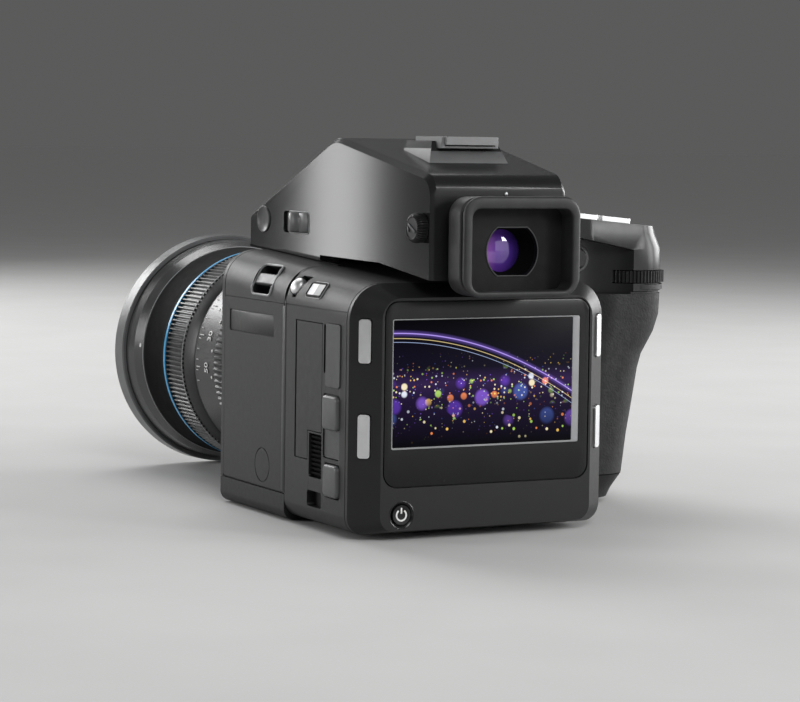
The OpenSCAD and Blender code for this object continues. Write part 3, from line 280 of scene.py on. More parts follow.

# Eyepiece lens: purple coating, with a painted highlight on the left that fades into painted shade on the right, where
# the recess shades it
eyepiece = Shader("eyepiece_coating_painted_light", (0.1, 0.05, 0.2), 0.05, Coat_Weight=1.0, Coat_Roughness=0.03,
                  Coat_Tint=(0.78, 0.6, 1.0), Specular_IOR_Level=0.8)
eyepiece.colour(eyepiece.ramp(eyepiece.axis("X", -7.0, 7.0), [
    (0.0, (0.62, 0.36, 0.5)), (0.12, (0.42, 0.2, 0.5)), (0.35, (0.16, 0.07, 0.34)), (0.7, (0.07, 0.035, 0.2)),
    (1.0, (0.03, 0.018, 0.1))]))
eyepiece.roughen(0.03, 0.07, 8.0)

sensor = Shader("sensor_filter", (0.02, 0.05, 0.04), 0.08, Coat_Weight=1.0, Coat_Roughness=0.03,
                Coat_Tint=(0.6, 0.9, 0.75))
sensor.mottle((0.03, 0.07, 0.055), 12.0, 0.3)
sensor.roughen(0.05, 0.12, 3.0)

# Status window: a darker half at the rear and a bright half in front
window = Shader("status_window", (0.8, 0.82, 0.83), 0.4)
window.colour(window.ramp(window.axis("Y", -51.0, -41.0), [
    (0.0, (0.2, 0.205, 0.21)), (0.5, (0.2, 0.205, 0.21)), (0.54, (0.68, 0.69, 0.7)), (1.0, (0.72, 0.73, 0.74))]))
window.roughen(0.35, 0.45, 2.0)

# Top display: a dark panel
lcd = Shader("top_panel", (0.02, 0.022, 0.022), 0.3, Specular_IOR_Level=0.25)
lcd.mottle((0.02, 0.022, 0.022), 4.0, 0.15)
lcd.roughen(0.28, 0.34, 5.0)

LENS_LOW, LENS_HIGH = 28.0, 136.0


def barrel_paint(name, bands, grain=0.3, height=0.012):
    """Paint whose colour and roughness change along the lens; each band gives its rear edge, colour and roughness."""
    s = Shader(name, bands[0][1], 0.4, Specular_IOR_Level=0.5)
    place = s.axis("Y", LENS_LOW, LENS_HIGH)
    starts = [(y - LENS_LOW) / (LENS_HIGH - LENS_LOW) for y, _, _ in bands]
    s.colour(s.ramp(place, [(start, colour) for start, (_, colour, _) in zip(starts, bands)], True))
    s.rough(s.ramp(place, [(start, (rough,) * 3) for start, (_, _, rough) in zip(starts, bands)], True))
    s.bump(s.noise(grain, 2.0), height)
    return s


barrel = barrel_paint("lens_barrel_paint", [
    (28.0, (0.009, 0.0092, 0.0096), 0.34),
    (46.5, (0.006, 0.0061, 0.0064), 0.24),
    (72.0, (0.009, 0.0092, 0.0096), 0.4)])
front = barrel_paint("front_barrel_paint_and_groove_shade", [
    (28.0, (0.008, 0.0082, 0.0086), 0.4),
    (95.9, (0.016, 0.3, 0.6), 0.3),
    (97.75, (0.003, 0.003, 0.0032), 0.62),
    (116.6, (0.036, 0.0365, 0.0375), 0.22),
    # Near black from here: painted shade of a groove in front of the grained rim
    (126.4, (0.004, 0.004, 0.0042), 0.6),
    (130.5, (0.03, 0.0305, 0.0313), 0.5)], 0.4, 0.02)


def ribbed_ring_groove_shade(inner, outer):
    """Rubber ribs, with painted shade that makes the grooves between them black, by the distance from the lens axis."""
    s = Shader("ribbed_ring_groove_shade", (0.02, 0.0204, 0.021), 0.36, Specular_IOR_Level=0.45)
    split, flat = s.add("ShaderNodeSeparateXYZ"), s.add("ShaderNodeCombineXYZ")
    rise = s.add("ShaderNodeMath", operation="SUBTRACT")
    rise.inputs[1].default_value = AXIS_Z * MM
    length = s.add("ShaderNodeVectorMath", operation="LENGTH")
    s.join(s.coords, split.inputs["Vector"])
    s.join(split.outputs["Z"], rise.inputs[0])
    s.join(split.outputs["X"], flat.inputs["X"])
    s.join(rise.outputs["Value"], flat.inputs["Y"])
    s.join(flat.outputs["Vector"], length.inputs[0])
    # Near black low on the ribs, lighter at their tops: painted shade in the grooves
    s.colour(s.ramp(s.spread(length.outputs["Value"], 0.0, 1.0, inner * MM, outer * MM), [
        (0.0, (0.001, 0.001, 0.001)), (0.5, (0.0015, 0.0015, 0.0016)), (0.8, (0.024, 0.0244, 0.025))]))
    s.roughen(0.32, 0.42, 2.0)
    s.bump(s.noise(0.3, 2.0), 0.01)
    return s


ribs = ribbed_ring_groove_shade(39.2, 40.6)


def night_picture():
    """Picture on the display: an own design of out-of-focus lights at night with falling trails."""
    s = Shader("night_lights", (0.001, 0.001, 0.0015), 0.3, Specular_IOR_Level=0.05)
    split = s.add("ShaderNodeSeparateXYZ")
    s.join(s.coords, split.inputs["Vector"])
    x, z = s.axis("X", -35.5, 32.2), s.axis("Z", 30.3, 71.7)

    def maths(kind, a, b):
        node = s.add("ShaderNodeMath", operation=kind)
        for socket, value in zip(node.inputs, (a, b)):
            if isinstance(value, (int, float)):
                socket.default_value = value
            else:
                s.join(value, socket)
        return node.outputs["Value"]

    def layer(below, mask, colour):
        node = s.add("ShaderNodeMix", data_type="RGBA", blend_type="ADD", clamp_result=True)
        s.join(mask, node.inputs[0])
        s.join(below, node.inputs[6])
        if isinstance(colour, tuple):
            node.inputs[7].default_value = (*colour, 1.0)
        else:
            s.join(colour, node.inputs[7])
        return node.outputs[2]

    def lights(depth, size, radius, colours, keep, envelope):
        """Discs of a given size with a colour each, kept where their chance and the envelope allow."""
        place = s.add("ShaderNodeCombineXYZ")
        s.join(split.outputs["X"], place.inputs["X"])
        s.join(split.outputs["Z"], place.inputs["Y"])
        place.inputs["Z"].default_value = depth * MM
        cell = s.add("ShaderNodeTexVoronoi", feature="F1")
        cell.inputs["Scale"].default_value = 1.0 / (size * MM)
        s.join(place.outputs["Vector"], cell.inputs["Vector"])
        disc = s.spread(cell.outputs["Distance"], 1.0, 0.0, radius * 0.8, radius * 1.15)
        parts = s.add("ShaderNodeSeparateColor")
        s.join(cell.outputs["Color"], parts.inputs["Color"])
        chance = s.spread(parts.outputs["Red"], 0.0, 1.0, keep, keep + 0.05)
        tint = s.ramp(parts.outputs["Green"], [(k / len(colours), c) for k, c in enumerate(colours)], True)
        return maths("MULTIPLY", maths("MULTIPLY", disc, chance), envelope), tint

    def trail(start, fall, width):
        """A thin line that falls from the left edge to the right."""
        line = maths("SUBTRACT", start, maths("MULTIPLY", fall, maths("POWER", x, 2.0)))
        away = maths("ABSOLUTE", maths("SUBTRACT", z, line), 0.0)
        return s.spread(away, 1.0, 0.0, width * 0.4, width)

    def levels(*stops):
        """Grey levels by height in the picture."""
        return s.ramp(z, [(place, (level,) * 3) for place, level in stops])

    image = s.ramp(z, [(0.0, (0.0005, 0.0005, 0.001)), (0.36, (0.012, 0.006, 0.03)), (0.5, (0.03, 0.014, 0.07)),
                       (0.62, (0.004, 0.003, 0.012)), (1.0, (0.0003, 0.0003, 0.001))])
    band = levels((0.3, 0), (0.42, 1), (0.52, 1), (0.64, 0))
    wide = levels((0.06, 0), (0.3, 0.7), (0.5, 1), (0.74, 0))
    low = levels((0.02, 0), (0.1, 1), (0.26, 0.6), (0.4, 0))
    violet = [(0.1, 0.035, 0.4), (0.22, 0.1, 0.62), (0.05, 0.1, 0.36)]
    warm = [(1.0, 0.62, 0.12), (0.95, 0.84, 0.5), (0.9, 0.26, 0.06), (0.4, 0.66, 0.1), (0.8, 0.86, 0.95)]
    for mask, tint in (lights(3.0, 8.2, 0.34, violet, 0.4, wide), lights(9.0, 4.4, 0.27, warm, 0.45, band),
                       lights(17.0, 2.1, 0.24, warm, 0.55, low), lights(23.0, 1.3, 0.26, warm, 0.5, band),
                       lights(31.0, 1.0, 0.22, violet + warm, 0.6, wide)):
        image = layer(image, mask, tint)
    for start, fall, width, colour in ((0.9, 0.5, 0.03, (0.06, 0.035, 0.17)), (0.9, 0.5, 0.006, (0.42, 0.3, 0.8)),
                                       (0.86, 0.52, 0.004, (0.7, 0.55, 0.25)),
                                       (0.83, 0.53, 0.003, (0.36, 0.45, 0.7))):
        image = layer(image, trail(start, fall, width), colour)
    s.join(image, s.bsdf.inputs["Emission Color"])
    s.set("Emission Strength", 0.95)
    return s


picture = night_picture()

# Looks of the CAD nodes that show
SOFT_KEYS = [f"soft_key_{place}" for place in ("upper_left", "lower_left", "upper_right", "lower_right")]
SHUTTER_BLADES = [f"shutter_blade_{place}" for place in ("lower", "middle", "upper")]
DRESS = (
    (shell, ["body_shell", "back_housing"]),
    (base_paint, ["base_cover"]),
    (panel_paint, ["left_side_panel"]),
    (cover_paint, ["back_rear_cover"]),
    (finder_paint, ["prism_housing"]),
    (housing_paint, ["grip_top_housing"]),
    (plate_grey, ["strap_lug", "lock_plate"]),
    (shoe_grey, ["shoe_rails", "shoe_cover"]),
    (matt_black, ["shutter_frame", "display_panel", "eyepiece_plate"]),
    (deep_black, ["connector_block"]),
    (control, ["lens_release_button", "thumb_button", "power_button"]),
    (door_plastic, ["card_door"]),
    (knurl, ["front_dial", "rear_dial"]),
    (rubber, ["grip_shell", "battery_pack"]),
    (steel, ["tripod_bushes", "lens_mount_ring"]),
    (silver, ["top_key_left", "top_key_right", "shutter_button"] + SOFT_KEYS),
    (mirror_coat, ["reflex_mirror"]),
    (blade, SHUTTER_BLADES),
    (iris_black, [f"iris_blade_{i}" for i in range(1, 6)]),
    (screen_glass, ["focusing_screen"]),
    (glass, ["pentaprism", "inner_elements"]),
    (coated, ["front_element"]),
    (sensor, ["image_sensor"]),
    (lcd, ["top_display"]),
    (window, ["status_window"]),
    (barrel, ["lens_barrel"]),
    (front, ["front_barrel"]),
    (ribs, ["focus_ring"]),
)
for look, names in DRESS:
    for name in names:
        nodes[name].data.materials.clear()
        nodes[name].data.materials.append(look.material)


# Helpers for new pieces

def add_piece(name, points, faces, body, look, slot, crease=CREASE):
    """A closed mesh in the part's frame that rides on a body."""
    mesh = bpy.data.meshes.new(name)
    mesh.from_pydata([Vector(p) * MM for p in points], [], faces)
    shape = bmesh.new()
    shape.from_mesh(mesh)
    bmesh.ops.remove_doubles(shape, verts=shape.verts, dist=1e-7)
    bmesh.ops.recalc_face_normals(shape, faces=shape.faces)
    for face in shape.faces:
        face.smooth = True
    for edge in shape.edges:
        edge.smooth = len(edge.link_faces) == 2 and edge.calc_face_angle() < math.radians(crease)
    shape.to_mesh(mesh)
    shape.free()
    mesh.materials.append(look.material)
    piece = bpy.data.objects.new(name, mesh)
    scene.collection.objects.link(piece)
    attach(piece, body)
    return piece


def loft(rings, wrap=False):
    """Points and faces between rings of equal length; wrap joins the last ring to the first, else both get a cap."""
    n, m = len(rings[0]), len(rings)
    points = [p for ring in rings for p in ring]
    faces = []
    for k in range(m if wrap else m - 1):
        a, b = k * n, (k + 1) % m * n
        faces += [(a + i, a + (i + 1) % n, b + (i + 1) % n, b + i) for i in range(n)]
    if not wrap:
        faces += [tuple(range(n))[::-1], tuple(range((m - 1) * n, m * n))]
    return points, faces


def merged(parts):
    """Joins several pairs of points and faces into one."""
    points, faces = [], []
    for p, f in parts:
        base = len(points)
        points += list(p)
        faces += [tuple(base + i for i in face) for face in f]
    return points, faces


def circle(n):
    """Angles of n points round a circle."""
    return [2 * math.pi * i / n for i in range(n)]


def round_rect(half_u, half_v, r, n=8):
    """Outline of a rectangle with round corners about the origin."""
    out = []
    for k, (su, sv) in enumerate(((1, 1), (-1, 1), (-1, -1), (1, -1))):
        for i in range(n + 1):
            a = math.radians(90 * (k + i / n))
            out.append((su * (half_u - r) + r * math.cos(a), sv * (half_v - r) + r * math.sin(a)))
    return out


def turned(profile, at, n=64):
    """Rings of a closed profile of (radius, height) turned about the W axis of a local frame."""
    return [[at((r * math.cos(a), r * math.sin(a), h)) for a in circle(n)] for r, h in profile]


def toothed(at, teeth, first, second, h):
    """A ring whose radius changes between two values, with two points at each in turn."""
    radii = (first, first, second, second)
    return [at((radii[i % 4] * math.cos(a), radii[i % 4] * math.sin(a), h)) for i, a in enumerate(circle(teeth * 4))]


def tube(path, r):
    """Rings of a round section along a closed path."""
    rings, count = [], len(path)
    middle = sum((Vector(p) for p in path), Vector()) / count
    for i, p in enumerate(path):
        along = (Vector(path[(i + 1) % count]) - Vector(path[i - 1])).normalized()
        out = Vector(p) - middle
        out = (out - along * out.dot(along)).normalized()
        side = along.cross(out)
        rings.append([Vector(p) + r * (out * math.cos(a) + side * math.sin(a)) for a in circle(LINE_SIDES)])
    return rings


def box_bar(at, half_u, half_v, low, high):
    """A small bar with its top edges cut, in a local frame."""
    cut = min(half_u, half_v) * 0.3
    rings = [[at((su * (half_u - c), sv * (half_v - c), h)) for su, sv in ((1, 1), (-1, 1), (-1, -1), (1, -1))]
             for c, h in ((0, low), (0, high - cut * 0.5), (cut, high))]
    return loft(rings)


def dome(at, r, low, high):
    return loft(turned([(r, low), (r, high * 0.5), (r * 0.8, high * 0.9), (r * 0.35, high)], at, 24))


def glyphs(text, size, depth):
    """Points and faces of flat figures of a given height, lying in the XY plane."""
    curve = bpy.data.curves.new("glyphs", "FONT")
    curve.body, curve.size, curve.extrude = text, size, depth
    curve.align_x, curve.align_y = "CENTER", "CENTER"
    curve.resolution_u = 3
    holder = bpy.data.objects.new("glyphs", curve)
    scene.collection.objects.link(holder)
    mesh = bpy.data.meshes.new_from_object(holder.evaluated_get(bpy.context.evaluated_depsgraph_get()))
    points, faces = [tuple(v.co) for v in mesh.vertices], [tuple(p.vertices) for p in mesh.polygons]
    bpy.data.objects.remove(holder)
    bpy.data.curves.remove(curve)
    bpy.data.meshes.remove(mesh)
    return points, faces


# Local frames: each maps (u, v, w), with w pointing out of a face, to the part's frame

def local(origin, u, v, w):
    o, u, v, w = Vector(origin), Vector(u), Vector(v), Vector(w)
    return lambda p: o + u * p[0] + v * p[1] + w * p[2]


def top_height(y):
    """Height of the body's sloping top."""
    return TOP_Z + y * math.tan(TOP_SLOPE)


def finder_half_width(y):
    return FINDER_HALF_W + (y - FINDER_REAR) * math.tan(FINDER_TAPER)


def finder_side(y, z):
    s, c = math.sin(FINDER_TAPER), math.cos(FINDER_TAPER)
    return local((-finder_half_width(y), y, z), (0, 0, 1), (-s, c, 0), (-c, -s, 0))


def housing_top(x, y):
    s, c = math.sin(HOUSING_SLOPE), math.cos(HOUSING_SLOPE)
    return local((x, y, HOUSING_Z - (x - HALF_W) * math.tan(HOUSING_SLOPE)), (c, 0, -s), (0, 1, 0), (s, 0, c))


def shoulder(y, angle):
    a = math.radians(angle - 90)
    centre = Vector((SHOULDER_R - HALF_W, y, top_height(y) - SHOULDER_R))
    out = Vector((math.sin(a), 0, math.cos(a)))
    return local(centre + out * SHOULDER_R, (math.cos(a), 0, -math.sin(a)), (0, 1, 0), out)


def rear_face(x, z, y=BACK_Y):
    return local((x, y, z), (1, 0, 0), (0, 0, 1), (0, -1, 0))


def side_face(y, z):
    return local((-HALF_W, y, z), (0, -1, 0), (0, 0, 1), (-1, 0, 0))


lens_axis = local((0, 0, AXIS_Z), (1, 0, 0), (0, 0, 1), (0, 1, 0))


def on_barrel(angle, y, radius):
    """Wraps flat points round the lens: U runs clockwise seen from behind, V forward, W outward."""
    def at(p):
        a = math.radians(angle) - p[0] / radius
        r = radius + p[2]
        return Vector((r * math.cos(a), y + p[1], AXIS_Z + r * math.sin(a)))
    return at


def turned_by(at, angle, radius, height):
    """A frame on a round face, turned about its middle and moved out by a radius."""
    a, origin = math.radians(angle), at((0, 0, 0))
    return local(at((radius * math.cos(a), radius * math.sin(a), height)), at((math.cos(a), math.sin(a), 0)) - origin,
                 at((-math.sin(a), math.cos(a), 0)) - origin, at((0, 0, 1)) - origin)


# Rubber eyecup: a rounded lip, a groove behind it and a hollow that fits round the eyepiece plate.
# Each outline has half width, half height, corner radius and height; each level has place along the camera and growth.
CUP_OUTER, CUP_INNER = (21.7, 16.3, 6.5, 96.2), (18.6, 13.2, 3.0, 95.2)
CUP_OUTSIDE = ((-90.8, -1.2), (-91.4, -0.55), (-92.6, -0.35), (-95.5, -0.3), (-98.6, -0.3), (-99.3, -0.5),
               (-99.5, -0.9), (-99.6, -1.7), (-100.6, -1.7), (-100.7, -0.8), (-101.1, -0.3), (-102.2, 0.0),
               (-102.8, -0.3), (-103.0, -0.9))
CUP_INSIDE = ((-103.0, 0.6), (-102.8, 0.2), (-102.2, 0.0), (-97.0, 0.0), (-90.8, 0.0))


def cup_ring(outline, y, grow):
    half_u, half_v, r, z = outline
    return [(u, y, z + v) for u, v in round_rect(half_u + grow, half_v + grow, r + grow, 10)]


cup_rings = [cup_ring(CUP_OUTER, *level) for level in CUP_OUTSIDE]
cup_rings += [cup_ring(CUP_INNER, *level) for level in CUP_INSIDE]
eyecup = add_piece("eyecup_rubber", *loft(cup_rings, wrap=True), "camera", soft_rubber, "eyecup", crease=50)
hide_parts("eyecup")

# Display: a glass frame with a window, a grey frame and the picture, as centre, half width, half height and corner
WINDOW = (-0.5, 50.9, 35.4, 21.25, 0.7)
PICTURE = (-1.65, 51.03, 33.85, 20.75, 0.4)
glass_at = rear_face(0.0, (GLASS_LOW + GLASS_HIGH) / 2)


def glass_ring(inset, w):
    outline = round_rect(GLASS_HALF_W - inset, (GLASS_HIGH - GLASS_LOW) / 2 - inset, GLASS_R - inset)
    return [glass_at((u, v, w)) for u, v in outline]


def screen_ring(place, grow, w):
    x, z, half_u, half_v, r = place
    at = rear_face(x, z)
    return [at((u, v, w)) for u, v in round_rect(half_u + grow, half_v + grow, r)]


bezel = add_piece("glass_bezel", *loft([
    glass_ring(0.0, -1.2), glass_ring(0.0, -0.3), glass_ring(0.1, -0.08), glass_ring(0.35, 0.0),
    screen_ring(WINDOW, 0.12, 0.0), screen_ring(WINDOW, 0.0, -0.12), screen_ring(WINDOW, 0.0, -1.2)], wrap=True),
    "camera", bezel_glass, "cover_glass")
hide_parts("display_glass")
add_piece("screen_frame", *loft([
    screen_ring(WINDOW, 0.0, -1.2), screen_ring(WINDOW, 0.0, -0.22), screen_ring(WINDOW, -0.12, -0.14),
    screen_ring(PICTURE, 0.1, -0.14), screen_ring(PICTURE, 0.0, -0.22), screen_ring(PICTURE, 0.0, -1.2)], wrap=True),
    "camera", frame_grey, "panel")
add_piece("screen_pane", *loft([
    screen_ring(PICTURE, 0.0, -1.2), screen_ring(PICTURE, 0.0, -0.26), screen_ring(PICTURE, -0.08, -0.22)]),
    "camera", picture, "panel")

# Power button: a plain standby sign and a glossy rim
power_at = rear_face(POWER_X, POWER_Z)
ARC_START, ARC_SWEEP, ARC_STEPS = 125, 290, 28
POWER_RIM = [(3.62, -0.62), (4.2, 0.0), (4.45, 0.09), (4.68, 0.0), (4.5, -0.25), (3.8, -0.8)]


def power_arc(a):
    c, s = math.cos(a), math.sin(a)
    return [power_at((r * c, r * s, w)) for r, w in ((1.5, -0.32), (1.5, -0.1), (2.05, -0.1), (2.05, -0.32))]


arc = loft([power_arc(math.radians(ARC_START + ARC_SWEEP * i / ARC_STEPS)) for i in range(ARC_STEPS + 1)])
dash = box_bar(rear_face(POWER_X, POWER_Z + 1.5), 0.27, 1.0, -0.32, -0.08)
add_piece("power_sign", *merged([arc, dash]), "power", white_ink, "power")
add_piece("power_rim", *loft(turned(POWER_RIM, power_at), wrap=True), "camera", gloss_black, "control")


# Left shoulder: lines round the lug's pocket and the window, the light grey ones painted highlights, and a bright dome
# for the release pin
def shoulder_line(name, place, half_u, half_v, corner, r, look, slot):
    at = shoulder(*place)
    outline = round_rect(half_u, half_v, corner, 6)
    path = [at((u, v, math.sqrt(SHOULDER_R ** 2 - u * u) - SHOULDER_R)) for u, v in outline]
    add_piece(name, *loft(tube(path, r), wrap=True), "camera", look, slot, crease=80)


shoulder_line("lug_rim", LUG_AT, 5.75, 7.95, 2.2, 0.42, edge_highlight_grey, "lug")
shoulder_line("window_frame", WINDOW_AT, 2.5, 5.4, 1.0, 0.42, matt_black, "window")
shoulder_line("window_line", WINDOW_AT, 3.05, 6.0, 1.4, 0.2, edge_highlight_grey, "window")
PIN_R, PIN_RISE, PIN_SUNK = 3.05, 1.9, 0.7
bulge = [(PIN_R * math.cos(math.radians(a)), PIN_RISE * math.sin(math.radians(a)) - PIN_SUNK) for a in range(0, 90, 11)]
pin = add_piece("pin_dome", *loft(turned([(PIN_R, -2.6)] + bulge, shoulder(*PIN_AT), 40)), "camera", polished,
                "polished", crease=60)
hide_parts("release_pin")

# Eyepiece: a black tube, a coated lens deep in it and a grey line round the opening as a painted highlight
eye_at = rear_face(0.0, EYE_Z, 0.0)
EYE_TUBE = [(10.9, 93.5), (9.6, 93.5), (9.2, 92.8), (7.6, 89.4), (7.0, 88.6), (7.0, 87.9), (10.9, 87.9)]
EYE_LENS = [(7.2, 86.8), (7.2, 88.0), (6.0, 88.6), (4.4, 89.1), (2.4, 89.45), (0.6, 89.55)]
EYE_OPEN_R, EYE_OPEN_HALF_H, EYE_STEPS = 9.6, 7.85, 24
EYE_EDGE_R, EYE_EDGE_W = 9.62, 95.85
add_piece("eyepiece_tube", *loft(turned(EYE_TUBE, eye_at), wrap=True), "camera", deep_black, "plate")
lens = add_piece("eyepiece_glass", *loft(turned(EYE_LENS, eye_at)), "camera", eyepiece, "eyepiece", crease=60)
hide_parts("eyepiece_lens")
flat = math.asin(EYE_OPEN_HALF_H / EYE_OPEN_R)
opening = [k * math.pi + flat * (2 * i / EYE_STEPS - 1) for k in range(2) for i in range(EYE_STEPS + 1)]
edge_path = [eye_at((EYE_EDGE_R * math.cos(a), EYE_EDGE_R * math.sin(a), EYE_EDGE_W)) for a in opening]
add_piece("eyepiece_edge_highlight", *loft(tube(edge_path, 0.2), wrap=True), "camera", plate_grey, "plate", crease=80)


# Left side: lock controls with round edges over a grey track, a plain plate and a strip over the seam, whose lighter
# grey is a painted highlight of the seam's lip
def side_pad(name, y, z, levels, r, body, look, slot):
    """A pad between two places along the camera and two heights, at levels of (inset, height)."""
    at = side_face(sum(y) / 2, sum(z) / 2)
    half_u, half_v = (y[1] - y[0]) / 2, (z[1] - z[0]) / 2
    rings = [[at((u, v, w)) for u, v in round_rect(half_u - inset, half_v - inset, r - inset * 0.8)]
             for inset, w in levels]
    return add_piece(name, *loft(rings), body, look, slot, crease=40)


PAD = [(0.0, -0.28), (0.0, 0.3), (0.15, 0.7), (0.5, 1.0), (1.0, 1.12)]
side_pad("lock_track", (-68.2, -56.6), (25.2, 46.2), [(0.0, -1.2), (0.0, -0.5), (0.1, -0.4)], 1.0, "camera", plate_grey,
         "plate")
slide = side_pad("slider_pad", (-68.2, -57.0), (34.6, 46.0), PAD, 1.9, "slider", slider_grey, "plate")
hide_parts("lock_slider")
press = side_pad("push_pad", (-68.5, -58.1), (12.5, 23.3), [(0.0, -1.2)] + PAD, 1.9, "push", slider_grey, "plate")
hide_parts("lock_button")
side_pad("blank_plate", (-17.1, 19.2), (62.0, 69.2), [(0.0, -0.6), (0.0, -0.3), (0.1, -0.22)], 0.9, "camera",
         panel_paint, "shell")
# Lighter grey strip by the seam: painted highlight of the seam's lip
side_pad("seam_highlight_strip", (-26.5, -24.4), (10.0, 73.0), [(0.0, -0.3), (0.0, 0.03), (0.1, 0.1)], 0.5, "camera", strip_grey,
         "shell")


# Lens: index dot, and plain figures, lines and dots on the scale
SCALE_REAR, SCALE_LENGTH, SCALE_R, SCALE_GROWTH = 47.0, 32.0, 37.1, 1.5
FIGURE_Y, LINE_Y, SHORT_LINE_Y, DOT_Y = 63.0, 69.6, 70.6, 59.0
FIGURES = {60: "1", 78: "2", 94: "3", 110: "5", 128: "10", 146: "20", 164: "30", 182: "50"}


def scale_at(angle, y):
    """A frame on the conical scale."""
    return on_barrel(angle, y, SCALE_R + (y - SCALE_REAR) / SCALE_LENGTH * SCALE_GROWTH)


add_piece("index_dot", *dome(on_barrel(176.0, 118.7, 41.55), 0.8, -0.2, 0.1), "camera", white_ink, "lens")
marks = []
for angle, text in FIGURES.items():
    points, faces = glyphs(text, 4.2, 0.05)
    at = scale_at(angle, FIGURE_Y)
    marks.append(([at(p) for p in points], faces))
    marks.append(box_bar(scale_at(angle, LINE_Y), 0.16, 1.5, -0.2, 0.07))
for angle in range(52, 196, 6):
    marks.append(box_bar(scale_at(angle, SHORT_LINE_Y), 0.11, 0.7, -0.2, 0.06))
for angle in (69, 120, 155, 172, 187):
    marks.append(dome(scale_at(angle, DOT_Y), 0.55, -0.2, 0.08))
add_piece("scale_marks", *merged(marks), "camera", white_ink, "lens")


# Lens rings: grained rim, black recess, lines on the edges, the light grey ones painted highlights, a step behind the
# focus ring, ribs at the rear, and the baffle and ridges inside the front rim
def ring(name, profile, body, look, slot="lens", crease=CREASE):
    return add_piece(name, *loft(turned(profile, lens_axis, 128), wrap=True), body, look, slot, crease=crease)


def bead(radius, y, r):
    return [(radius + r * math.cos(a), y + r * math.sin(a)) for a in circle(LINE_SIDES)]


ring("rim_sleeve", [(43.5, 127.6), (44.7, 127.5), (45.2, 128.0), (45.5, 134.7), (45.1, 135.3), (43.5, 135.2)], "camera",
     rim_grain)
ring("recess_sleeve", [(40.28, 98.3), (39.88, 102.0), (40.76, 116.3), (39.0, 116.3), (38.5, 102.0), (39.0, 98.3)],
     "camera", deep_black)
ring("band_edge", bead(40.95, 116.95, 0.22), "camera", edge_highlight_grey, crease=80)
ring("focus_edge_rear", bead(40.3, 80.05, 0.26), "focus", edge_highlight_grey, "focus_ring", 80)
ring("focus_edge_front", bead(40.3, 95.55, 0.24), "focus", knurl, "focus_ring", 80)
ring("barrel_step", [(36.5, 73.2), (38.2, 73.2), (38.5, 73.8), (39.9, 78.8), (39.9, 79.4), (36.5, 79.4)], "camera",
     control)

REAR_RIBS = 108
RIB_LEVELS = ((36.4, 36.4, 46.9), (37.5, 37.5, 46.9), (37.6, 38.3, 47.3), (37.7, 38.5, 55.2), (37.7, 38.2, 55.7),
              (37.6, 37.6, 55.9), (36.4, 36.4, 55.9))
rib_rings = [toothed(lens_axis, REAR_RIBS, low, high, y) for low, high, y in RIB_LEVELS]
add_piece("rear_ribs", *loft(rib_rings, wrap=True), "camera", knurl, "lens", crease=30)

BAFFLE = [(40.3, 130.0), (39.0, 130.0)]
THREAD = [(41.3, 134.6), (41.3, 130.9)]
for i in range(6):
    BAFFLE += [(38.7 - 0.6 * i, 129.9 - 0.9 * i), (38.7 - 0.6 * i, 129.1 - 0.9 * i)]
    THREAD += [(41.0, 131.0 + 0.6 * i), (40.55, 131.3 + 0.6 * i)]
ring("front_baffle", BAFFLE + [(36.8, 124.4)], "camera", matt_black, crease=20)
ring("filter_ridges", THREAD + [(41.0, 134.6)], "camera", knurl, crease=20)

# Finder: a latch with a raised roller over its bed and a light grey line round it as a painted highlight, a toothed
# diopter wheel with two lines, a round cap, black strips along the seat as painted shade of the gap, and a small lamp
# at the rear
LATCH = [(-7.0, -0.9), (-7.0, 0.3), (-6.5, 0.55), (-1.0, 0.55), (-0.4, 0.3), (0.2, 0.5), (1.0, 1.15), (2.2, 1.6),
         (3.4, 1.7), (4.6, 1.55), (5.8, 1.05), (6.6, 0.4), (7.0, 0.1), (7.0, -0.9)]
latch_at = finder_side(*LATCH_AT)
latch_rings = [[latch_at((u, v, w if w < 0 else w - drop)) for v, w in LATCH]
               for u, drop in ((-3.4, 0.4), (-3.05, 0.0), (3.05, 0.0), (3.4, 0.4))]
latch = add_piece("latch_slide", *loft(latch_rings), "latch", slider_grey, "control", crease=50)
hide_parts("prism_latch")
rim_path = [latch_at((u, v, -0.05)) for u, v in round_rect(3.75, 7.5, 1.2, 6)]
add_piece("latch_rim", *loft(tube(rim_path, 0.26), wrap=True), "camera", edge_highlight_grey, "control", crease=80)
# Floor of the latch's pocket in a lighter grey: painted light, so the pocket's shade looks less black
bed_rings = [[latch_at((u, v + 2.0, w)) for u, v in round_rect(3.4, 9.1, 1.2, 6)] for w in (-1.3, -1.05)]
add_piece("latch_bed_painted_light", *loft(bed_rings), "camera", strip_grey, "control")

DIOPTER_TEETH = 34
WHEEL_LEVELS = ((-1.0, 1.9, 0.0), (0.2, 1.9, 0.0), (0.2, 4.8, 0.3), (2.5, 5.0, 0.45), (3.3, 4.65, 0.6),
                (3.85, 3.95, 0.5), (3.95, 3.6, 0.0), (3.75, 3.35, 0.0), (3.7, 0.3, 0.0))
diopter_at = finder_side(*DIOPTER_AT)
wheel_rings = [toothed(diopter_at, DIOPTER_TEETH, r, r - cut, w) for w, r, cut in WHEEL_LEVELS]
wheel = add_piece("diopter_wheel", *loft(wheel_rings), "diopter", knurl, "control", crease=30)
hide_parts("diopter_knob")
lines = [box_bar(turned_by(diopter_at, 60, 0.0, 3.7), 2.6, 0.4, -0.2, 0.45),
         box_bar(turned_by(diopter_at, 104, 2.2, 3.7), 0.35, 0.9, -0.2, 0.45)]
add_piece("diopter_lines", *merged(lines), "diopter", plate_grey, "control")

CAP = [(3.4, -1.2), (4.75, -0.3), (4.85, 0.15), (4.7, 0.42), (4.4, 0.48), (4.15, 0.3), (0.4, 0.3)]
cap = add_piece("finder_cap", *loft(turned(CAP, finder_side(*CAP_AT), 56)), "camera", strip_grey, "control", crease=40)
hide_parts("prism_cap")
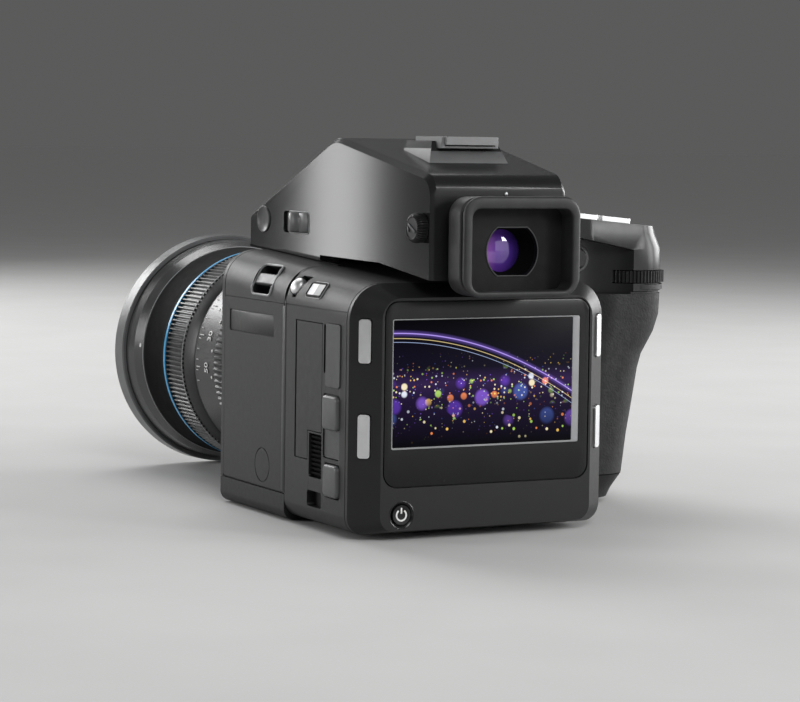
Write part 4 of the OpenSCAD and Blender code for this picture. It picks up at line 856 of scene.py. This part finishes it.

# Black strips along the finder's seat: painted shade of the gap under the finder
GAP_SHADE_FRONT, GAP_SHADE_LENGTH, GAP_SHADE_STEPS = 39.6, 66.0, 11
GAP_SHADE = ((-1.0, -0.3), (0.14, -0.3), (0.14, 0.5), (-1.0, 0.5))
for name, side in (("finder_gap_shade_left", -1), ("finder_gap_shade_right", 1)):
    strip = []
    for y in (GAP_SHADE_FRONT - GAP_SHADE_LENGTH * i / GAP_SHADE_STEPS for i in range(GAP_SHADE_STEPS + 1)):
        x, z = finder_half_width(y), top_height(y)
        strip.append([(side * (x + dx), y, z + dz) for dx, dz in GAP_SHADE])
    add_piece(name, *loft(strip), "camera", deep_black, "cover")
add_piece("finder_lamp", *dome(rear_face(*LAMP_AT), 0.65, -0.3, 0.3), "camera", steel, "window")

# Shoe: a grey skin on the sides of its pedestal, which narrows from its foot to its top
FOOT_Z, FOOT_RISE, SKIN, SKIN_IN = 121.0, 8.3, 0.15, -0.5
FOOT_HALF_W, FOOT_REAR, FOOT_FRONT = 15.5, -67.0, -44.0
SIDE_IN, REAR_IN, FRONT_IN = 3.2, 4.0, 2.0


def pedestal_ring(z, out):
    share = min(max((z - FOOT_Z) / FOOT_RISE, 0.0), 1.0)
    half = FOOT_HALF_W - SIDE_IN * share + out
    rear, fore = FOOT_REAR + REAR_IN * share - out, FOOT_FRONT - FRONT_IN * share + out
    return [(half, rear, z), (half, fore, z), (-half, fore, z), (-half, rear, z)]


skin_rings = [pedestal_ring(z, SKIN) for z in (119.2, FOOT_Z, 127.3)]
skin_rings += [pedestal_ring(z, SKIN_IN) for z in (127.3, FOOT_Z, 119.2)]
add_piece("shoe_base", *loft(skin_rings, wrap=True), "camera", slider_grey, "shoe")

# Grip: ring round the thumb button, band on the drum, collar of the shutter button and the top display's signs
THUMB_RING = [(3.75, -0.7), (3.75, 0.45), (4.05, 0.72), (4.75, 0.72), (5.1, 0.4), (5.1, -0.9)]
COLLAR = [(5.9, -0.3), (5.9, 0.3), (6.2, 0.55), (6.9, 0.5), (7.3, 0.0), (7.3, -0.3)]
DRUM_BAND = [(12.3, 76.9), (12.72, 77.1), (12.72, 78.9), (12.3, 79.1)]
BAND_START, BAND_SWEEP, BAND_STEPS = 248, 120, 80
SIGN_W = 0.82
BAR_X, BAR_Y, BAR_STEP = 79.4, -12.2, 1.5


def drum_section(a):
    return [(DRUM_X + r * math.cos(a), DRUM_Y + r * math.sin(a), z) for r, z in DRUM_BAND]


add_piece("thumb_ring", *loft(turned(THUMB_RING, rear_face(*THUMB_AT), 48), wrap=True), "camera", plate_grey,
          "control")
band_rings = [drum_section(math.radians(BAND_START + BAND_SWEEP * i / BAND_STEPS)) for i in range(BAND_STEPS + 1)]
add_piece("drum_band", *loft(band_rings), "camera", knurl, "control")
add_piece("shutter_collar", *loft(turned(COLLAR, housing_top(*SHUTTER_AT)), wrap=True), "camera", control, "control")
display_at = housing_top(*DISPLAY_AT)
signs = []
for text, size, u, v in (("125", 5.4, -3.4, 3.2), ("8", 5.4, 5.4, 3.2), ("400", 3.4, -4.0, -4.4)):
    points, faces = glyphs(text, size, 0.03)
    signs.append(([display_at((u + p[0], v + p[1], SIGN_W + p[2])) for p in points], faces))
for i in range(4):
    signs.append(box_bar(housing_top(BAR_X + BAR_STEP * i, BAR_Y), 0.5, 1.0, 0.7, 0.85))
add_piece("display_signs", *merged(signs), "camera", lcd_ink, "top_display")

# Base: four countersunk screws with a hexagon socket
SCREWS = ((-40.0, 18.0), (40.0, 18.0), (-40.0, -20.0), (40.0, -20.0))
SCREW_HEAD = [(2.3, -0.4), (2.3, 0.0), (2.1, 0.08)]
SOCKET = 1.1  # half the width across the flats
SCREW_POINTS = 36


def hexagon(a):
    """A point of the socket's outline."""
    r = SOCKET / math.cos((a + math.pi / 6) % (math.pi / 3) - math.pi / 6)
    return r * math.cos(a), r * math.sin(a)


for i, (x, y) in enumerate(SCREWS):
    screw_at = local((x, y, 0.0), (1, 0, 0), (0, -1, 0), (0, 0, -1))
    head = turned(SCREW_HEAD, screw_at, SCREW_POINTS)
    socket = [[screw_at((*hexagon(a), w)) for a in circle(SCREW_POINTS)] for w in (0.08, -0.3)]
    add_piece(f"base_screw_{i + 1}", *loft(head + socket), "camera", steel, "steel")

# Camera, from a fit of the body's corners to the photograph
CAMERA_AT, CAMERA_BACK, CAMERA_ROLL = (-431.47, -834.01, 131.26), (-0.466943, -0.882646, 0.053905), 0.83
PHOTO_W, SHIFT_PIXELS = 800, -72.5
camera = bpy.data.objects.new("camera", bpy.data.cameras.new("camera"))
scene.collection.objects.link(camera)
back = Vector(CAMERA_BACK).normalized()
right = Vector((0, 0, 1)).cross(back).normalized()
up = back.cross(right)
roll = math.radians(CAMERA_ROLL)
right, up = right * math.cos(roll) + up * math.sin(roll), up * math.cos(roll) - right * math.sin(roll)
turn = Matrix((right, up, back)).transposed()
camera.matrix_world = Matrix.Translation(Vector(CAMERA_AT) * MM) @ turn.to_4x4()
camera.data.sensor_width = 36.0
camera.data.lens = 118.8
camera.data.shift_y = SHIFT_PIXELS / PHOTO_W
camera.data.clip_start, camera.data.clip_end = 0.01, 60.0
scene.camera = camera

# Floor
scene.view_settings.view_transform = "Standard"
REACH = 20.0
PAPER = (0.54, 0.54, 0.536)
floor_mesh = bpy.data.meshes.new("floor")
floor_mesh.from_pydata([(-REACH, -REACH, 0), (REACH, -REACH, 0), (REACH, REACH, 0), (-REACH, REACH, 0)], [],
                       [(0, 1, 2, 3)])
floor = bpy.data.objects.new("floor", floor_mesh)
floor.location.z = -0.0003
scene.collection.objects.link(floor)
floor_look = Shader("floor_paper", PAPER, 0.85, Specular_IOR_Level=0.1)
floor_look.mottle(PAPER, 60.0, 0.02)
floor_mesh.materials.append(floor_look.material)

# Surroundings: one level lights the object, and a darker one shows to the camera, in metal and through glass
world = bpy.data.worlds.new("studio")
scene.world = world
world.use_nodes = True
make, link = world.node_tree.nodes.new, world.node_tree.links.new
sky = world.node_tree.nodes["Background"]
sky.inputs["Color"].default_value = (0.8, 0.8, 0.8, 1.0)
sky.inputs["Strength"].default_value = 0.24
seen = make("ShaderNodeBackground")
seen.inputs["Color"].default_value = (0.8, 0.8, 0.795, 1.0)
seen.inputs["Strength"].default_value = 0.13
choose, path = make("ShaderNodeMixShader"), make("ShaderNodeLightPath")
direct = path.outputs["Is Camera Ray"]
for kind in ("Is Glossy Ray", "Is Transmission Ray"):
    either = make("ShaderNodeMath")
    either.operation = "MAXIMUM"
    link(direct, either.inputs[0])
    link(path.outputs[kind], either.inputs[1])
    direct = either.outputs["Value"]
link(direct, choose.inputs[0])
link(sky.outputs[0], choose.inputs[1])
link(seen.outputs[0], choose.inputs[2])
link(choose.outputs[0], world.node_tree.nodes["World Output"].inputs["Surface"])

# Lamps, as name, place, aim, size and watts
LAMPS = (
    ("front", (-0.3, 1.43, 0.5), (0, 0, 0.06), (0.5, 0.5), 7.5),
    ("top_front", (0.15, 0.75, 1.15), (0, 0, 0.06), (0.9, 0.5), 8),
    ("right", (1.25, 0.1, 0.32), (0.03, -0.02, 0.06), (0.7, 0.4), 8.5),
    ("behind_camera", (-0.3, -1.5, 1.2), (0.0, -0.05, 0.06), (0.9, 0.6), 12),
    ("right_rear", (0.75, -1.42, 0.26), (0.0, -0.05, 0.06), (0.8, 0.5), 1.4),
    ("right_side", (1.1, -0.62, 0.35), (0.06, -0.03, 0.08), (0.3, 0.5), 5),
    ("rear_high", (0.95, -1.3, 0.6), (0.09, -0.02, 0.09), (0.35, 0.25), 6),
    ("left_fill", (-1.15, 0.55, 0.3), (0.0, -0.05, 0.08), (0.4, 0.4), 5),
    ("edge", (0.16, 1.41, 0.85), (0.0, 0.0, 0.1), (0.4, 0.2), 1.0),
    ("left_strip", (-0.656, 0.997, 0.4), (-0.028, -0.025, 0.1), (0.05, 0.9), 0.9),
)
for name, place, aim, size, watts in LAMPS:
    lamp = bpy.data.objects.new(name, bpy.data.lights.new(name, "AREA"))
    lamp.data.shape = "RECTANGLE"
    lamp.data.size, lamp.data.size_y = size
    lamp.data.energy = watts
    lamp.location = place
    lamp.visible_camera = False
    lamp.rotation_mode = "QUATERNION"
    lamp.rotation_quaternion = (Vector(aim) - Vector(place)).to_track_quat("-Z", "Y")
    scene.collection.objects.link(lamp)


# Soft edges on the solids
def even_shading():
    """Node group that shades a welded solid smooth up to an angle."""
    group = bpy.data.node_groups.new("even_shading", "GeometryNodeTree")
    group.interface.new_socket("Geometry", in_out="INPUT", socket_type="NodeSocketGeometry")
    group.interface.new_socket("Geometry", in_out="OUTPUT", socket_type="NodeSocketGeometry")
    make, link = group.nodes.new, group.links.new
    inlet, outlet = make("NodeGroupInput"), make("NodeGroupOutput")
    shade, angle = make("GeometryNodeSetMeshNormal"), make("GeometryNodeInputMeshEdgeAngle")
    sharp = make("FunctionNodeCompare")
    shade.mode = "SHARPNESS"
    sharp.operation = "GREATER_THAN"
    sharp.inputs[1].default_value = math.radians(CREASE)
    link(inlet.outputs[0], shade.inputs["Mesh"])
    link(angle.outputs["Unsigned Angle"], sharp.inputs[0])
    link(sharp.outputs["Result"], shade.inputs["Edge Sharpness"])
    link(shade.outputs["Mesh"], outlet.inputs[0])
    return group


EVEN = even_shading()


def soften(node, width):
    weld = node.modifiers.new("weld", "WELD")
    weld.merge_threshold = 0.002 * MM
    bevel = node.modifiers.new("bevel", "BEVEL")
    bevel.width = width * MM
    bevel.segments = 2
    bevel.limit_method = "ANGLE"
    bevel.angle_limit = math.radians(CREASE)
    bevel.use_clamp_overlap = True
    smooth = node.modifiers.new("shade", "NODES")
    smooth.node_group = EVEN
    weigh = node.modifiers.new("weigh", "WEIGHTED_NORMAL")
    weigh.keep_sharp = True


# Nodes by the width of their bevels
SOFT = {
    0.15: ["status_window"],
    0.2: ["left_side_panel", "connector_block", "power_button"],
    0.25: ["card_door", "top_display"],
    0.3: ["back_housing", "base_cover", "lock_plate", "shoe_rails", "shoe_cover", "shutter_button"],
    0.35: ["back_rear_cover", "eyepiece_plate"],
    0.4: ["body_shell", "grip_top_housing", "top_key_left", "top_key_right", "thumb_button"],
    0.5: ["grip_shell", "strap_lug", "battery_pack"] + SOFT_KEYS,
    0.7: ["prism_housing"],
}
for width, names in SOFT.items():
    for name in names:
        soften(nodes[name], width)
